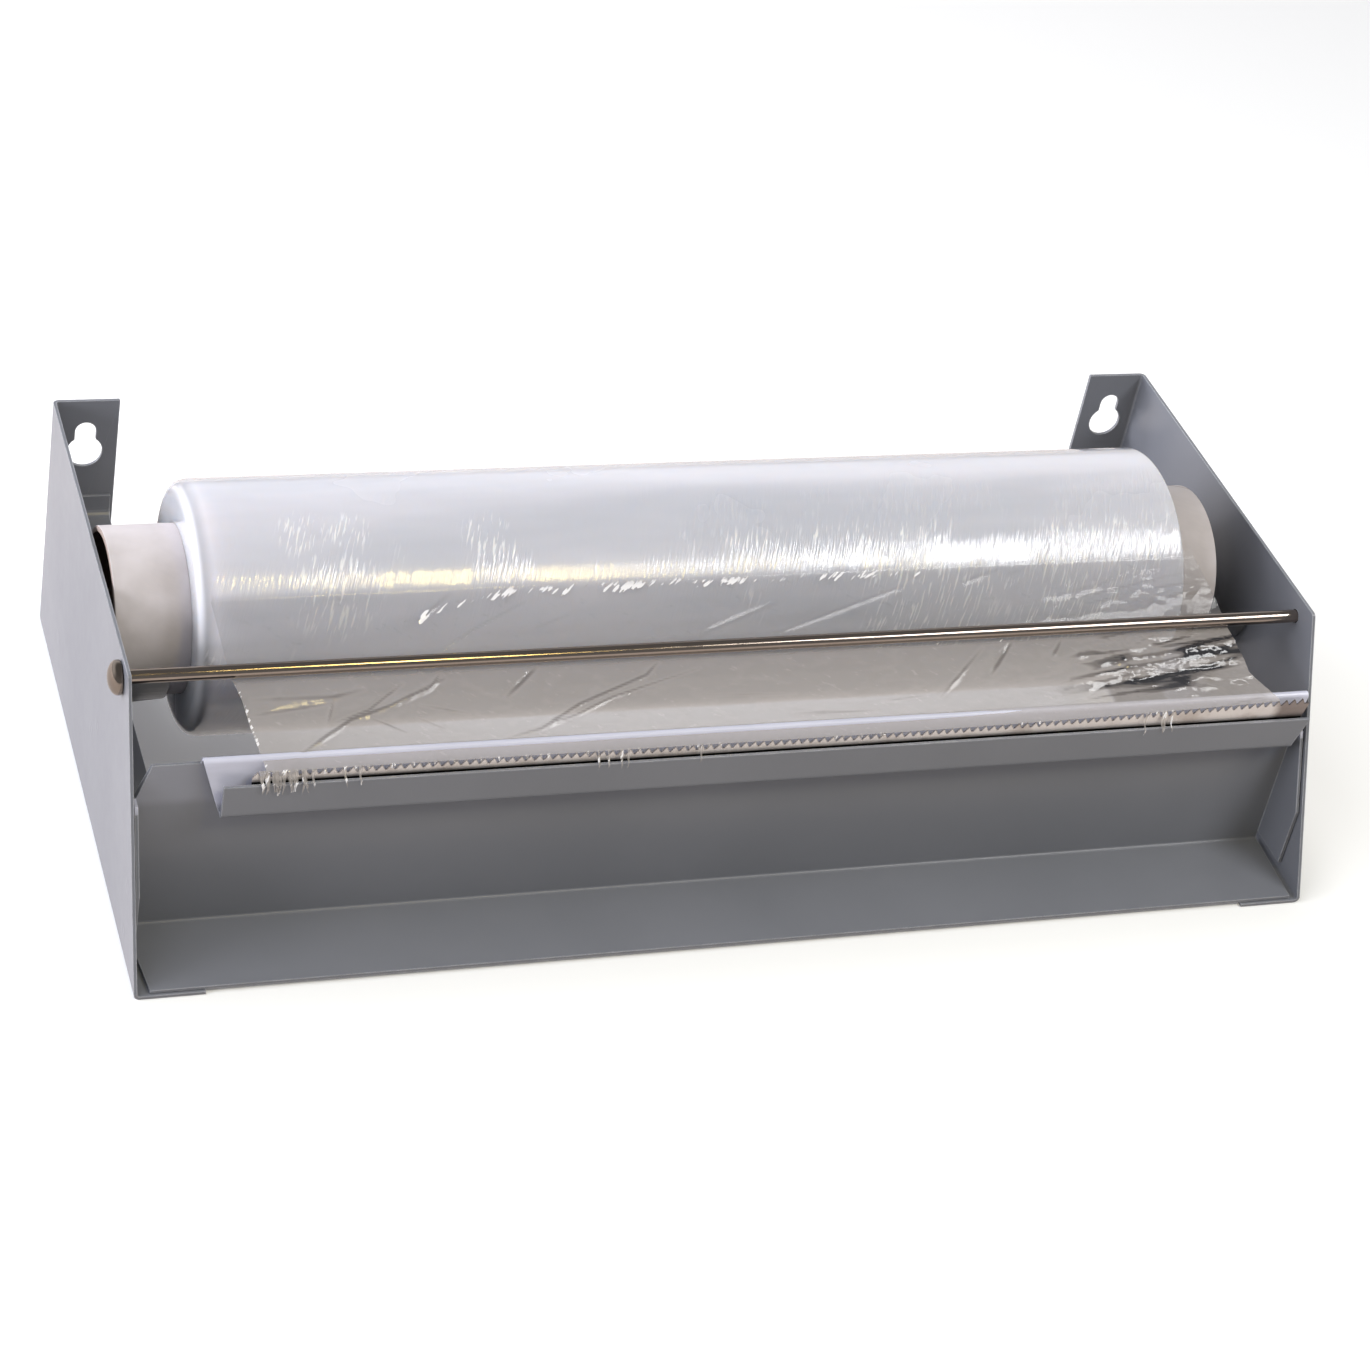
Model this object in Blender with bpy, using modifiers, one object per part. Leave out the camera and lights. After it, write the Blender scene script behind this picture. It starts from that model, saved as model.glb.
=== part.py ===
"""Countertop and wall cling film dispenser: a folded steel frame with a film roll on a core.

Blender 4.5, metres, +Z up. +X runs along the guide rod to the user's right, -Y faces the user.
Each piece is one object in the collection "cling_film_dispenser".
"""

import math

import bmesh
import bpy
from mathutils import Matrix, Vector

# Driving dimensions of the whole dispenser
FILM_WIDTH = 0.450
SIDE_DEPTH = 0.259
SIDE_HEIGHT = 0.1215
FRONT_LEAN = 0.060
STEEL = 0.0015
GAP = 0.0003

# The frame is as much wider than its film as the core's ends and their play need
FRAME_PAST_FILM = 0.090
CORE_END_PLAY = 0.025
FRAME_WIDTH = FILM_WIDTH + FRAME_PAST_FILM
CORE_LENGTH = FRAME_WIDTH - STEEL * 2 - CORE_END_PLAY

# The film roll that the frame is made for
ROLL_RADIUS = 0.0552
ROLL_LEFT_SHOULDER = 0.007
ROLL_RIGHT_SHOULDER = 0.0018
ROLL_WANDER = 0.0038
FILM_ON_CORE = 0.0187
CORE_RADIUS = ROLL_RADIUS - FILM_ON_CORE
CORE_WALL = 0.0025
REEL_DEPTH_SHARE = 0.55
REEL_FROM_FRONT = SIDE_DEPTH * REEL_DEPTH_SHARE
REEL_BELOW_TOP = 0.0299
REEL_HEIGHT = SIDE_HEIGHT - REEL_BELOW_TOP
CORE_SHIFT = -0.0098
ROLL_SHIFT = -0.0071
FILM_SHIFT = -0.0063
FILM_SOLID = 0.0004

# Side plates
FLANGE = 0.030
SIDE_BEND_RADIUS = 0.0026
SHOULDER_RADIUS = 0.002
CORNER_RELIEF = 0.0036

# Keyholes in the rear flanges
KEYHOLE_FROM_SIDE = 0.0155
KEYHOLE_BELOW_TOP = 0.0271
KEYHOLE_HEIGHT = SIDE_HEIGHT - KEYHOLE_BELOW_TOP
KEYHOLE_BIG_RADIUS = 0.0080
KEYHOLE_SMALL_RADIUS = 0.0047
KEYHOLE_RISE = 0.0108

# Guide rod and its push-on caps
ROD_RADIUS = 0.003
ROD_DEPTH_SHARE = 0.28
ROD_FROM_FRONT = SIDE_DEPTH * ROD_DEPTH_SHARE
ROD_BELOW_TOP = 0.0103
ROD_HEIGHT = SIDE_HEIGHT - ROD_BELOW_TOP
ROD_HOLE_CLEARANCE = 0.0003
CAP_RADIUS = 0.0074
CAP_HEIGHT = 0.0054
CAP_RIM = 0.0012
ROD_INTO_CAP = 0.003

# Tray panel, folded from one sheet
TRAY_END_GAP = 0.0005
TRAY_FRONT_SETBACK = 0.0012
FLOOR_CORNER_LONG = 0.034
FLOOR_CORNER_LEFT = 0.0034
FLOOR_CORNER_RIGHT = 0.0014
TRAY_DEPTH = 0.0424
HEM_BELOW_TOP = 0.0299
HEM_TOP = SIDE_HEIGHT - HEM_BELOW_TOP
PANEL_BELOW_HEM = 0.0031
PANEL_TOP = HEM_TOP - PANEL_BELOW_HEM
PANEL_CORNER_WIDE = 0.0055
PANEL_CORNER_TALL = 0.0165
TRAY_BEND_RADIUS = 0.0012
TAB_WIDTH = 0.0225
TAB_LIFT = 0.004
TAB_SETBACK = 0.0012
HEM_INNER_RADIUS = 0.0006
LIP_FROM_FRONT = 0.0330
LIP_BELOW_HEM = 0.0093
LIP_TALL = 0.0171
LIP_TOP = HEM_TOP - LIP_BELOW_HEM
LIP_BOTTOM = LIP_TOP - LIP_TALL
CHANNEL_WIDTH = 0.0028
HEM_LEFT_INSET = 0.0290
LIP_LEFT_INSET = 0.0370
LIP_RIGHT_CHAMFER = 0.005

# Saw-tooth blade in the channel behind the lip
BLADE_THICKNESS = 0.0006
BLADE_LEFT_INSET = 0.0490
BLADE_RIGHT_INSET = 0.0050
BLADE_BELOW_HEM = 0.0041
BLADE_LIFT = 0.0050
BLADE_LEVEL_SHARE = 0.5
BLADE_TIP_HEIGHT = HEM_TOP - BLADE_BELOW_HEM
TOOTH_PITCH = 0.004
TOOTH_HEIGHT = 0.0027
TOOTH_FLAT_SHARE = 0.12

# Core cradles, one J-shaped strip on each side
CRADLE_INSET = 0.0285
CRADLE_SIDE_GAP = 0.0008
CRADLE_BELOW_REEL = 0.0206
CRADLE_TOP = REEL_HEIGHT - CRADLE_BELOW_REEL
CRADLE_SLOPE = math.radians(3.0)
CRADLE_BEND_RADIUS = 0.004
HOOK_ANGLE = math.radians(197.0)
HOOK_TAIL = 0.002
WELD_FLANGE_DROP = 0.027
WELD_FLANGE_BEFORE_REEL = 0.0245
WELD_FLANGE_FROM_REAR = 0.037
WELD_FLANGE_FRONT = REEL_FROM_FRONT - WELD_FLANGE_BEFORE_REEL
WELD_FLANGE_REAR = SIDE_DEPTH - WELD_FLANGE_FROM_REAR

# How far the free film drifts sideways on its way from the roll to the blade
FILM_DRIFT_LEFT = 0.0143
FILM_DRIFT_RIGHT = 0.0300
FILM_WRAP = math.radians(28.0)
FILM_PAST_BLADE = 0.0022

# Smoothness of the faceted curves
ARC_STEP = math.radians(20.0)
CHORD_ERROR = 0.00005
BEND_SEGMENTS = 4
ROUND_SEGMENTS = 32
REEL_SEGMENTS = 72
DOME_SEGMENTS = 8

# Places worked out from the dimensions above
FRONT_Y = -SIDE_DEPTH / 2
REAR_Y = SIDE_DEPTH / 2
SIDE_X = FRAME_WIDTH / 2
INNER_X = SIDE_X - STEEL
REEL_Y = FRONT_Y + REEL_FROM_FRONT
ROD_Y = FRONT_Y + ROD_FROM_FRONT
PANEL_Y = FRONT_Y + TRAY_DEPTH
LIP_Y = FRONT_Y + LIP_FROM_FRONT
TRAY_X = INNER_X - TRAY_END_GAP - STEEL
TRAY_FLOOR_Z = STEEL + GAP + STEEL
FRONT_SLOPE = FRONT_LEAN / SIDE_HEIGHT

COLLECTION = "cling_film_dispenser"
GUIDES = "cutters"


def clear_scene():
    """Remove what the file holds, so that the script always starts empty."""
    for item in list(bpy.data.objects):
        bpy.data.objects.remove(item, do_unlink=True)


def collection(name):
    """Return the named collection, linked to the scene."""
    found = bpy.data.collections.get(name)
    if found is None:
        found = bpy.data.collections.new(name)
        bpy.context.scene.collection.children.link(found)
    return found


def material(name, colour, roughness, metallic):
    """A Principled material with one colour."""
    made = bpy.data.materials.new(name)
    made.use_nodes = True
    shader = made.node_tree.nodes["Principled BSDF"]
    shader.inputs["Base Color"].default_value = (*colour, 1.0)
    shader.inputs["Roughness"].default_value = roughness
    shader.inputs["Metallic"].default_value = metallic
    made.diffuse_color = (*colour, 1.0)
    return made


def add_object(name, data, look, place=(0.0, 0.0, 0.0)):
    """Link a mesh or curve to the part's collection with its own material."""
    item = bpy.data.objects.new(name, data)
    item.location = place
    if look is not None:
        item.data.materials.append(look)
    collection(COLLECTION).objects.link(item)
    return item


def add_mesh(name, bm, look, place=(0.0, 0.0, 0.0)):
    """Turn a bmesh into an object and free it."""
    mesh = bpy.data.meshes.new(name)
    bm.to_mesh(mesh)
    bm.free()
    return add_object(name, mesh, look, place)


def add_cutter(name, bm, place=(0.0, 0.0, 0.0)):
    """A Boolean guide, kept out of the part's collection and of renders."""
    mesh = bpy.data.meshes.new(name)
    bm.to_mesh(mesh)
    bm.free()
    item = bpy.data.objects.new(name, mesh)
    item.location = place
    item.hide_render = True
    item.display_type = "WIRE"
    collection(GUIDES).objects.link(item)
    return item


def cut(item, cutter):
    """Subtract a guide from a piece."""
    step = item.modifiers.new("cut " + cutter.name, "BOOLEAN")
    step.operation = "DIFFERENCE"
    step.solver = "EXACT"
    step.object = cutter


def give_thickness(item, thickness):
    """Grow a sheet's surface to a solid on the side away from its normals."""
    step = item.modifiers.new("thickness", "SOLIDIFY")
    step.thickness = thickness
    step.offset = -1.0
    step.use_even_offset = True
    return step


def belt_direction(start, end):
    """Angle of the straight run between two stops (y, z, radius, sense) of a path.

    sense is +1 where the path turns counter-clockwise round the stop and -1 where it turns clockwise.
    """
    run = Vector((end[0] - start[0], end[1] - start[1]))
    swing = math.asin((end[3] * end[2] - start[3] * start[2]) / run.length)
    return math.atan2(run.y, run.x) - swing


def belt_point(stop, angle):
    """The point where a run in the direction of angle touches a stop's circle."""
    y, z, radius, sense = stop
    return Vector((y + sense * radius * math.sin(angle), z - sense * radius * math.cos(angle)))


def arc_steps(radius, turn):
    """How many chords an arc needs to stay near its true curve."""
    if radius <= CHORD_ERROR:
        return 1
    widest = min(ARC_STEP, 2.0 * math.acos(1.0 - CHORD_ERROR / radius))
    return max(1, math.ceil(turn / widest))


def bent_path(stops):
    """Points of a path that runs straight between round bends, as a folded sheet does in section."""
    points = [Vector(stops[0][:2])]
    headings = [belt_direction(a, b) for a, b in zip(stops, stops[1:])]
    for stop, arriving, leaving in zip(stops[1:], headings, headings[1:]):
        turn = math.fmod((leaving - arriving) * stop[3] + math.tau, math.tau)
        if not stop[2]:
            points.append(Vector(stop[:2]))
            continue
        steps = arc_steps(stop[2], turn)
        for i in range(steps + 1):
            points.append(belt_point(stop, arriving + stop[3] * turn * i / steps))
    points.append(Vector(stops[-1][:2]))
    return points


def swept_sheet(points, stations):
    """Sweep a section of (y, z) points along X, with a column of faces between two stations."""
    bm = bmesh.new()
    row = [bm.verts.new((stations[0], p[0], p[1])) for p in points]
    edges = [bm.edges.new(pair) for pair in zip(row, row[1:])]
    for a, b in zip(stations, stations[1:]):
        made = bmesh.ops.extrude_edge_only(bm, edges=edges)["geom"]
        moved = [g for g in made if isinstance(g, bmesh.types.BMVert)]
        bmesh.ops.translate(bm, vec=(b - a, 0.0, 0.0), verts=moved)
        edges = [g for g in made if isinstance(g, bmesh.types.BMEdge)
                 and all(abs(v.co.x - b) < GAP / 2 for v in g.verts)]
    return bm


def face_towards(bm, probe, direction):
    """Flip a sheet's normals as a whole if the face nearest to probe looks the other way."""
    bmesh.ops.recalc_face_normals(bm, faces=bm.faces)
    bm.normal_update()
    nearest = min(bm.faces, key=lambda f: (f.calc_center_median() - Vector(probe)).length)
    if nearest.normal.dot(Vector(direction)) < 0.0:
        bmesh.ops.reverse_faces(bm, faces=bm.faces)


def mirror_across(bm):
    """Turn a left-hand sheet into its right-hand mirror image."""
    bmesh.ops.transform(bm, matrix=Matrix.Diagonal((-1.0, 1.0, 1.0, 1.0)), verts=bm.verts)
    bmesh.ops.reverse_faces(bm, faces=bm.faces)


def arc(centre, radius, start, end):
    """Points of an arc in the plane, from start to end in radians."""
    steps = arc_steps(radius, abs(end - start))
    angles = [start + (end - start) * i / steps for i in range(steps + 1)]
    return [(centre[0] + radius * math.cos(a), centre[1] + radius * math.sin(a)) for a in angles]


def side_outline():
    """Outline of a side plate's flat as (y, z): upright at the rear, leaning back at the front."""
    bend = SIDE_BEND_RADIUS
    foot = (FRONT_Y, bend, 0.0, 1)
    shoulder_lean = math.atan(FRONT_SLOPE)
    reach = SHOULDER_RADIUS * math.tan((math.pi / 2 - shoulder_lean) / 2)
    shoulder_y = FRONT_Y + FRONT_LEAN + reach
    return bent_path([
        foot,
        (REAR_Y - CORNER_RELIEF, bend, 0.0, 1),
        (REAR_Y - bend, CORNER_RELIEF, 0.0, 1),
        (REAR_Y - bend, SIDE_HEIGHT, 0.0, 1),
        (shoulder_y, SIDE_HEIGHT - SHOULDER_RADIUS, SHOULDER_RADIUS, 1),
        foot,
    ])[:-1]


def bend_flange(bm, edge, centre, axis, width):
    """Bend a flange inwards from an edge: a quarter turn and then a flat."""
    geom = [edge] + list(edge.verts)
    made = bmesh.ops.spin(bm, geom=geom, cent=centre, axis=axis, angle=math.pi / 2, steps=BEND_SEGMENTS)
    last = [g for g in made["geom_last"] if isinstance(g, bmesh.types.BMEdge)]
    made = bmesh.ops.extrude_edge_only(bm, edges=last)["geom"]
    moved = [g for g in made if isinstance(g, bmesh.types.BMVert)]
    bmesh.ops.translate(bm, vec=(width, 0.0, 0.0), verts=moved)


def side_plate_sheet():
    """The left side plate with its rear and bottom flanges, as one open surface."""
    bm = bmesh.new()
    bend = SIDE_BEND_RADIUS
    bm.faces.new([bm.verts.new((-SIDE_X, p[0], p[1])) for p in side_outline()])
    bottom = next(e for e in bm.edges if all(abs(v.co.z - bend) < GAP / 2 for v in e.verts))
    rear = next(e for e in bm.edges if all(abs(v.co.y - REAR_Y + bend) < GAP / 2 for v in e.verts))
    bend_flange(bm, bottom, (bend - SIDE_X, 0.0, bend), (0.0, -1.0, 0.0), FLANGE - bend)
    bend_flange(bm, rear, (bend - SIDE_X, REAR_Y - bend, 0.0), (0.0, 0.0, -1.0), FLANGE - bend)
    face_towards(bm, (-SIDE_X, 0.0, SIDE_HEIGHT / 2), (-1.0, 0.0, 0.0))
    return bm


def keyhole_cutter(side):
    """Cutter for a keyhole: a large round hole with a smaller one just above it."""
    shoulder = math.asin(KEYHOLE_SMALL_RADIUS / KEYHOLE_BIG_RADIUS)
    outline = arc((0.0, 0.0), KEYHOLE_BIG_RADIUS, math.pi / 2 + shoulder, math.pi * 2.5 - shoulder)
    outline += arc((0.0, KEYHOLE_RISE), KEYHOLE_SMALL_RADIUS, 0.0, math.pi)
    bm = bmesh.new()
    bm.faces.new([bm.verts.new((p[0], -STEEL, p[1])) for p in outline])
    made = bmesh.ops.extrude_face_region(bm, geom=bm.faces[:])["geom"]
    moved = [g for g in made if isinstance(g, bmesh.types.BMVert)]
    bmesh.ops.translate(bm, vec=(0.0, STEEL * 3, 0.0), verts=moved)
    bmesh.ops.recalc_face_normals(bm, faces=bm.faces)
    name = "keyhole_left" if side < 0 else "keyhole_right"
    place = (side * (SIDE_X - KEYHOLE_FROM_SIDE), REAR_Y - STEEL, KEYHOLE_HEIGHT)
    return add_cutter(name, bm, place)


def rod_hole_cutter(side):
    """Cutter for the guide rod's hole in a side plate."""
    bm = bmesh.new()
    radius = ROD_RADIUS + ROD_HOLE_CLEARANCE
    bmesh.ops.create_cone(bm, cap_ends=True, segments=ROUND_SEGMENTS, radius1=radius, radius2=radius,
                          depth=STEEL * 4, matrix=Matrix.Rotation(math.pi / 2, 4, "Y"))
    name = "rod_hole_left" if side < 0 else "rod_hole_right"
    return add_cutter(name, bm, (side * SIDE_X, ROD_Y, ROD_HEIGHT))


def build_side_plate(side, look):
    """One side plate: folded sheet, keyhole in the rear flange and a hole for the rod."""
    bm = side_plate_sheet()
    if side > 0:
        mirror_across(bm)
    plate = add_mesh("left_side_plate" if side < 0 else "right_side_plate", bm, look)
    give_thickness(plate, STEEL)
    cut(plate, keyhole_cutter(side))
    cut(plate, rod_hole_cutter(side))
    return plate


def channel_stops():
    """The two round bends of the hem and of the channel that holds the blade."""
    hem = (PANEL_Y - HEM_INNER_RADIUS, HEM_TOP - STEEL - HEM_INNER_RADIUS, HEM_INNER_RADIUS, 1)
    outer = CHANNEL_WIDTH / 2 + STEEL
    channel = (LIP_Y + outer, LIP_BOTTOM + outer, outer, -1)
    return hem, channel


def tray_section():
    """Section of the tray panel: floor, back panel, hem, sloping shelf and front lip."""
    hem, channel = channel_stops()
    front_y = FRONT_Y + TRAY_FRONT_SETBACK
    return bent_path([
        (front_y, TRAY_FLOOR_Z, 0.0, 1),
        (front_y + FLOOR_CORNER_LONG, TRAY_FLOOR_Z, 0.0, 1),
        (PANEL_Y - TRAY_BEND_RADIUS, TRAY_FLOOR_Z + TRAY_BEND_RADIUS, TRAY_BEND_RADIUS, 1),
        (PANEL_Y, TRAY_FLOOR_Z + TAB_LIFT, 0.0, 1),
        (PANEL_Y, PANEL_TOP - PANEL_CORNER_TALL, 0.0, 1),
        (PANEL_Y, PANEL_TOP, 0.0, 1),
        hem,
        channel,
        (LIP_Y, LIP_TOP, 0.0, 1),
    ])


def is_above_panel(face):
    """True for the faces of the hem, shelf and lip."""
    centre = face.calc_center_median()
    return centre.z > PANEL_TOP or (centre.y < PANEL_Y - GAP and centre.z > LIP_BOTTOM - STEEL)


def trim_left_end(bm):
    """Leave the back panel free of the channel at the left and cut its upper corner."""
    spare = [f for f in bm.faces if is_above_panel(f) and f.calc_center_median().x < -SIDE_X + HEM_LEFT_INSET]
    bmesh.ops.delete(bm, geom=spare, context="FACES")
    corner = [v for v in bm.verts if abs(v.co.x + TRAY_X) < GAP and abs(v.co.z - PANEL_TOP) < GAP]
    bmesh.ops.delete(bm, geom=corner, context="VERTS")
    chamfer = [v for v in bm.verts if abs(v.co.y - PANEL_Y) < GAP
               and (abs(v.co.x + TRAY_X) < GAP and abs(v.co.z - PANEL_TOP + PANEL_CORNER_TALL) < GAP
                    or abs(v.co.x + TRAY_X - PANEL_CORNER_WIDE) < GAP
                    and v.co.z > PANEL_TOP - PANEL_CORNER_TALL - GAP)]
    bm.faces.new(chamfer)


def slant_channel_ends(bm):
    """Slant the channel's left end and cut the lip's lower corner at the right."""
    height = HEM_TOP - LIP_BOTTOM
    for v in bm.verts:
        in_channel = v.co.y < PANEL_Y - GAP and v.co.z > LIP_BOTTOM - STEEL
        if not in_channel:
            continue
        is_lip = v.co.y < LIP_Y + STEEL
        drop_share = 1.0 if is_lip else min(1.0, (HEM_TOP - v.co.z) / height)
        if abs(v.co.x + SIDE_X - HEM_LEFT_INSET) < GAP:
            v.co.x += (LIP_LEFT_INSET - HEM_LEFT_INSET) * drop_share
        if abs(v.co.x - TRAY_X) < GAP and v.co.z < LIP_BOTTOM + CHANNEL_WIDTH + STEEL:
            v.co.x -= LIP_RIGHT_CHAMFER


def trim_floor_corners(bm):
    """Taper the floor's front corners so that they clear the bends of the side plates."""
    for v in bm.verts:
        if v.co.y > FRONT_Y + FLOOR_CORNER_LONG / 2 or abs(v.co.x) < TRAY_X - GAP:
            continue
        v.co.x += FLOOR_CORNER_LEFT if v.co.x < 0.0 else -FLOOR_CORNER_RIGHT


def add_end_tab(bm, side):
    """Bend a tab forward from the back panel's end, so that it lies against the side plate."""
    low = TRAY_FLOOR_Z + TAB_LIFT
    top = PANEL_TOP - PANEL_CORNER_TALL
    edge = next(e for e in bm.edges if all(abs(v.co.x - side * TRAY_X) < GAP and abs(v.co.y - PANEL_Y) < GAP
                                           and low - GAP < v.co.z < top + GAP for v in e.verts))
    made = bmesh.ops.extrude_edge_only(bm, edges=[edge])["geom"]
    moved = [g for g in made if isinstance(g, bmesh.types.BMVert)]
    bmesh.ops.translate(bm, vec=(0.0, -TAB_WIDTH, 0.0), verts=moved)
    front = next(g for g in made if isinstance(g, bmesh.types.BMEdge)
                 and all(v.co.y < PANEL_Y - TAB_WIDTH / 2 for v in g.verts))
    knee = (TRAY_DEPTH - TAB_WIDTH - TAB_SETBACK) / FRONT_SLOPE
    low_vert, high_vert = sorted(front.verts, key=lambda v: v.co.z)
    bmesh.utils.edge_split(front, low_vert, (knee - low) / (top - low))
    high_vert.co.y = FRONT_Y + top * FRONT_SLOPE + TAB_SETBACK


def build_tray_panel(look):
    """The tray, folded from one sheet: floor, back, end tabs, hem and blade channel."""
    stations = [-TRAY_X, -TRAY_X + PANEL_CORNER_WIDE, -SIDE_X + HEM_LEFT_INSET, TRAY_X]
    bm = swept_sheet(tray_section(), stations)
    trim_left_end(bm)
    slant_channel_ends(bm)
    trim_floor_corners(bm)
    for side in (-1, 1):
        add_end_tab(bm, side)
    face_towards(bm, (0.0, PANEL_Y, SIDE_HEIGHT / 3), (0.0, -1.0, 0.0))
    tray = add_mesh("tray_panel", bm, look)
    give_thickness(tray, STEEL)
    return tray


def blade_lift(x):
    """How far the blade stands out of its channel at x: level over the left, bowed up to the right end."""
    right = SIDE_X - BLADE_RIGHT_INSET
    level = -SIDE_X + BLADE_LEFT_INSET
    level += (right - level) * BLADE_LEVEL_SHARE
    share = max(0.0, (x - level) / (right - level))
    return BLADE_LIFT * share ** 2


def build_blade(look):
    """Thin strip with saw teeth along its upper edge, standing in the channel."""
    left = -SIDE_X + BLADE_LEFT_INSET
    right = SIDE_X - BLADE_RIGHT_INSET
    foot = LIP_BOTTOM + STEEL + GAP
    root = BLADE_TIP_HEIGHT - TOOTH_HEIGHT
    flat = TOOTH_PITCH * TOOTH_FLAT_SHARE
    starts = [left + i * TOOTH_PITCH for i in range(int((right - left) / TOOTH_PITCH))]
    points = [(right - LIP_RIGHT_CHAMFER, foot)]
    points += [(start, foot) for start in reversed(starts)]
    points.append((left, root))
    for start in starts:
        points.append((start + TOOTH_PITCH / 2, BLADE_TIP_HEIGHT))
        points.append((start + TOOTH_PITCH - flat, root))
        points.append((start + TOOTH_PITCH, root))
    points[-1] = (right, root)
    bm = bmesh.new()
    y = LIP_Y + STEEL + (CHANNEL_WIDTH - BLADE_THICKNESS) / 2
    strip = bm.faces.new([bm.verts.new((x, y, z + blade_lift(x))) for x, z in points])
    made = bmesh.ops.extrude_face_region(bm, geom=[strip])["geom"]
    moved = [g for g in made if isinstance(g, bmesh.types.BMVert)]
    bmesh.ops.translate(bm, vec=(0.0, BLADE_THICKNESS, 0.0), verts=moved)
    bmesh.ops.recalc_face_normals(bm, faces=bm.faces)
    return add_mesh("cutting_blade", bm, look)


def cradle_section():
    """Section of a cradle: leg on the rear flange, run under the core and hook round its front."""
    seat = CORE_RADIUS + GAP
    leg_y = REAR_Y - STEEL - GAP - STEEL
    tangent_y = REEL_Y + seat * math.sin(CRADLE_SLOPE)
    tangent_z = REEL_HEIGHT - seat * math.cos(CRADLE_SLOPE)
    corner_z = tangent_z + (leg_y - tangent_y) * math.tan(CRADLE_SLOPE)
    reach = CRADLE_BEND_RADIUS * math.tan((math.pi / 2 - CRADLE_SLOPE) / 2)
    bend_y = leg_y - CRADLE_BEND_RADIUS
    bend_z = corner_z + reach
    heading = HOOK_ANGLE - math.pi / 2
    hook_y = REEL_Y + seat * math.cos(HOOK_ANGLE) + HOOK_TAIL * math.cos(heading)
    hook_z = REEL_HEIGHT + seat * math.sin(HOOK_ANGLE) + HOOK_TAIL * math.sin(heading)
    weld_y = FRONT_Y + WELD_FLANGE_REAR
    weld_z = tangent_z + (weld_y - tangent_y) * math.tan(CRADLE_SLOPE)
    return bent_path([
        (leg_y, CRADLE_TOP, 0.0, -1),
        (bend_y, bend_z, CRADLE_BEND_RADIUS, -1),
        (weld_y, weld_z, 0.0, -1),
        (REEL_Y, REEL_HEIGHT, seat, -1),
        (hook_y, hook_z, 0.0, -1),
    ])


def build_cradle(side, look):
    """J-shaped strip that carries one end of the core, with a flange for its welds."""
    outer = -INNER_X + CRADLE_SIDE_GAP
    bm = swept_sheet(cradle_section(), [outer, -SIDE_X + CRADLE_INSET])
    run = [e for e in bm.edges if all(abs(v.co.x - outer) < GAP / 2 for v in e.verts)
           and all(FRONT_Y + WELD_FLANGE_FRONT < v.co.y < FRONT_Y + WELD_FLANGE_REAR + GAP for v in e.verts)]
    made = bmesh.ops.extrude_edge_only(bm, edges=run)["geom"]
    for g in made:
        if isinstance(g, bmesh.types.BMVert):
            g.co.z -= WELD_FLANGE_DROP
    face_towards(bm, (-SIDE_X + CRADLE_INSET, REEL_Y, REEL_HEIGHT - CORE_RADIUS), (0.0, 0.0, 1.0))
    if side > 0:
        mirror_across(bm)
    cradle = add_mesh("left_core_cradle" if side < 0 else "right_core_cradle", bm, look)
    give_thickness(cradle, STEEL)
    return cradle


def build_rod(look):
    """Straight guide rod with lightly chamfered ends, turned about its own axis."""
    half = SIDE_X + GAP + ROD_INTO_CAP
    chamfer = ROD_RADIUS / 6
    profile = [(0.0, half), (ROD_RADIUS - chamfer, half), (ROD_RADIUS, half - chamfer),
               (ROD_RADIUS, chamfer - half), (ROD_RADIUS - chamfer, -half), (0.0, -half)]
    rod = turned("guide_rod", profile, ROUND_SEGMENTS, look)
    rod.location = (0.0, ROD_Y, ROD_HEIGHT)
    rod.rotation_euler = (0.0, math.pi / 2, 0.0)
    return rod


def turned(name, profile, segments, look):
    """Revolve a profile of (radius, height) points about Z with a Screw modifier."""
    bm = bmesh.new()
    row = [bm.verts.new((p[0], 0.0, p[1])) for p in profile]
    for pair in zip(row, row[1:]):
        bm.edges.new(pair)
    if profile[0][0] > 0.0:
        bm.edges.new((row[-1], row[0]))
    item = add_mesh(name, bm, look)
    step = item.modifiers.new("turn", "SCREW")
    step.angle = math.tau
    step.steps = segments
    step.render_steps = segments
    step.use_merge_vertices = True
    step.merge_threshold = GAP / 10
    step.use_normal_calculate = False
    return item


def build_rod_cap(side, look):
    """Domed push-on cap with a blind bore that takes the end of the rod."""
    bore = ROD_RADIUS + GAP
    depth = ROD_INTO_CAP + GAP
    dome = [(CAP_RADIUS * math.sin(a), CAP_RIM + (CAP_HEIGHT - CAP_RIM) * math.cos(a))
            for a in [math.pi / 2 * i / DOME_SEGMENTS for i in range(DOME_SEGMENTS + 1)]]
    profile = dome + [(CAP_RADIUS, 0.0), (bore, 0.0), (bore, depth), (0.0, depth)]
    cap = turned("left_rod_cap" if side < 0 else "right_rod_cap", profile, ROUND_SEGMENTS, look)
    cap.location = (side * (SIDE_X + GAP), ROD_Y, ROD_HEIGHT)
    cap.rotation_euler = (0.0, side * math.pi / 2, 0.0)
    return cap


def tube_profile(outer, inner, length, chamfer):
    """Closed profile of a tube, from its outer side down and back up its bore."""
    half = length / 2
    return [(outer - chamfer, half), (outer, half - chamfer), (outer, chamfer - half), (outer - chamfer, -half),
            (inner, -half), (inner, half)]


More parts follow.
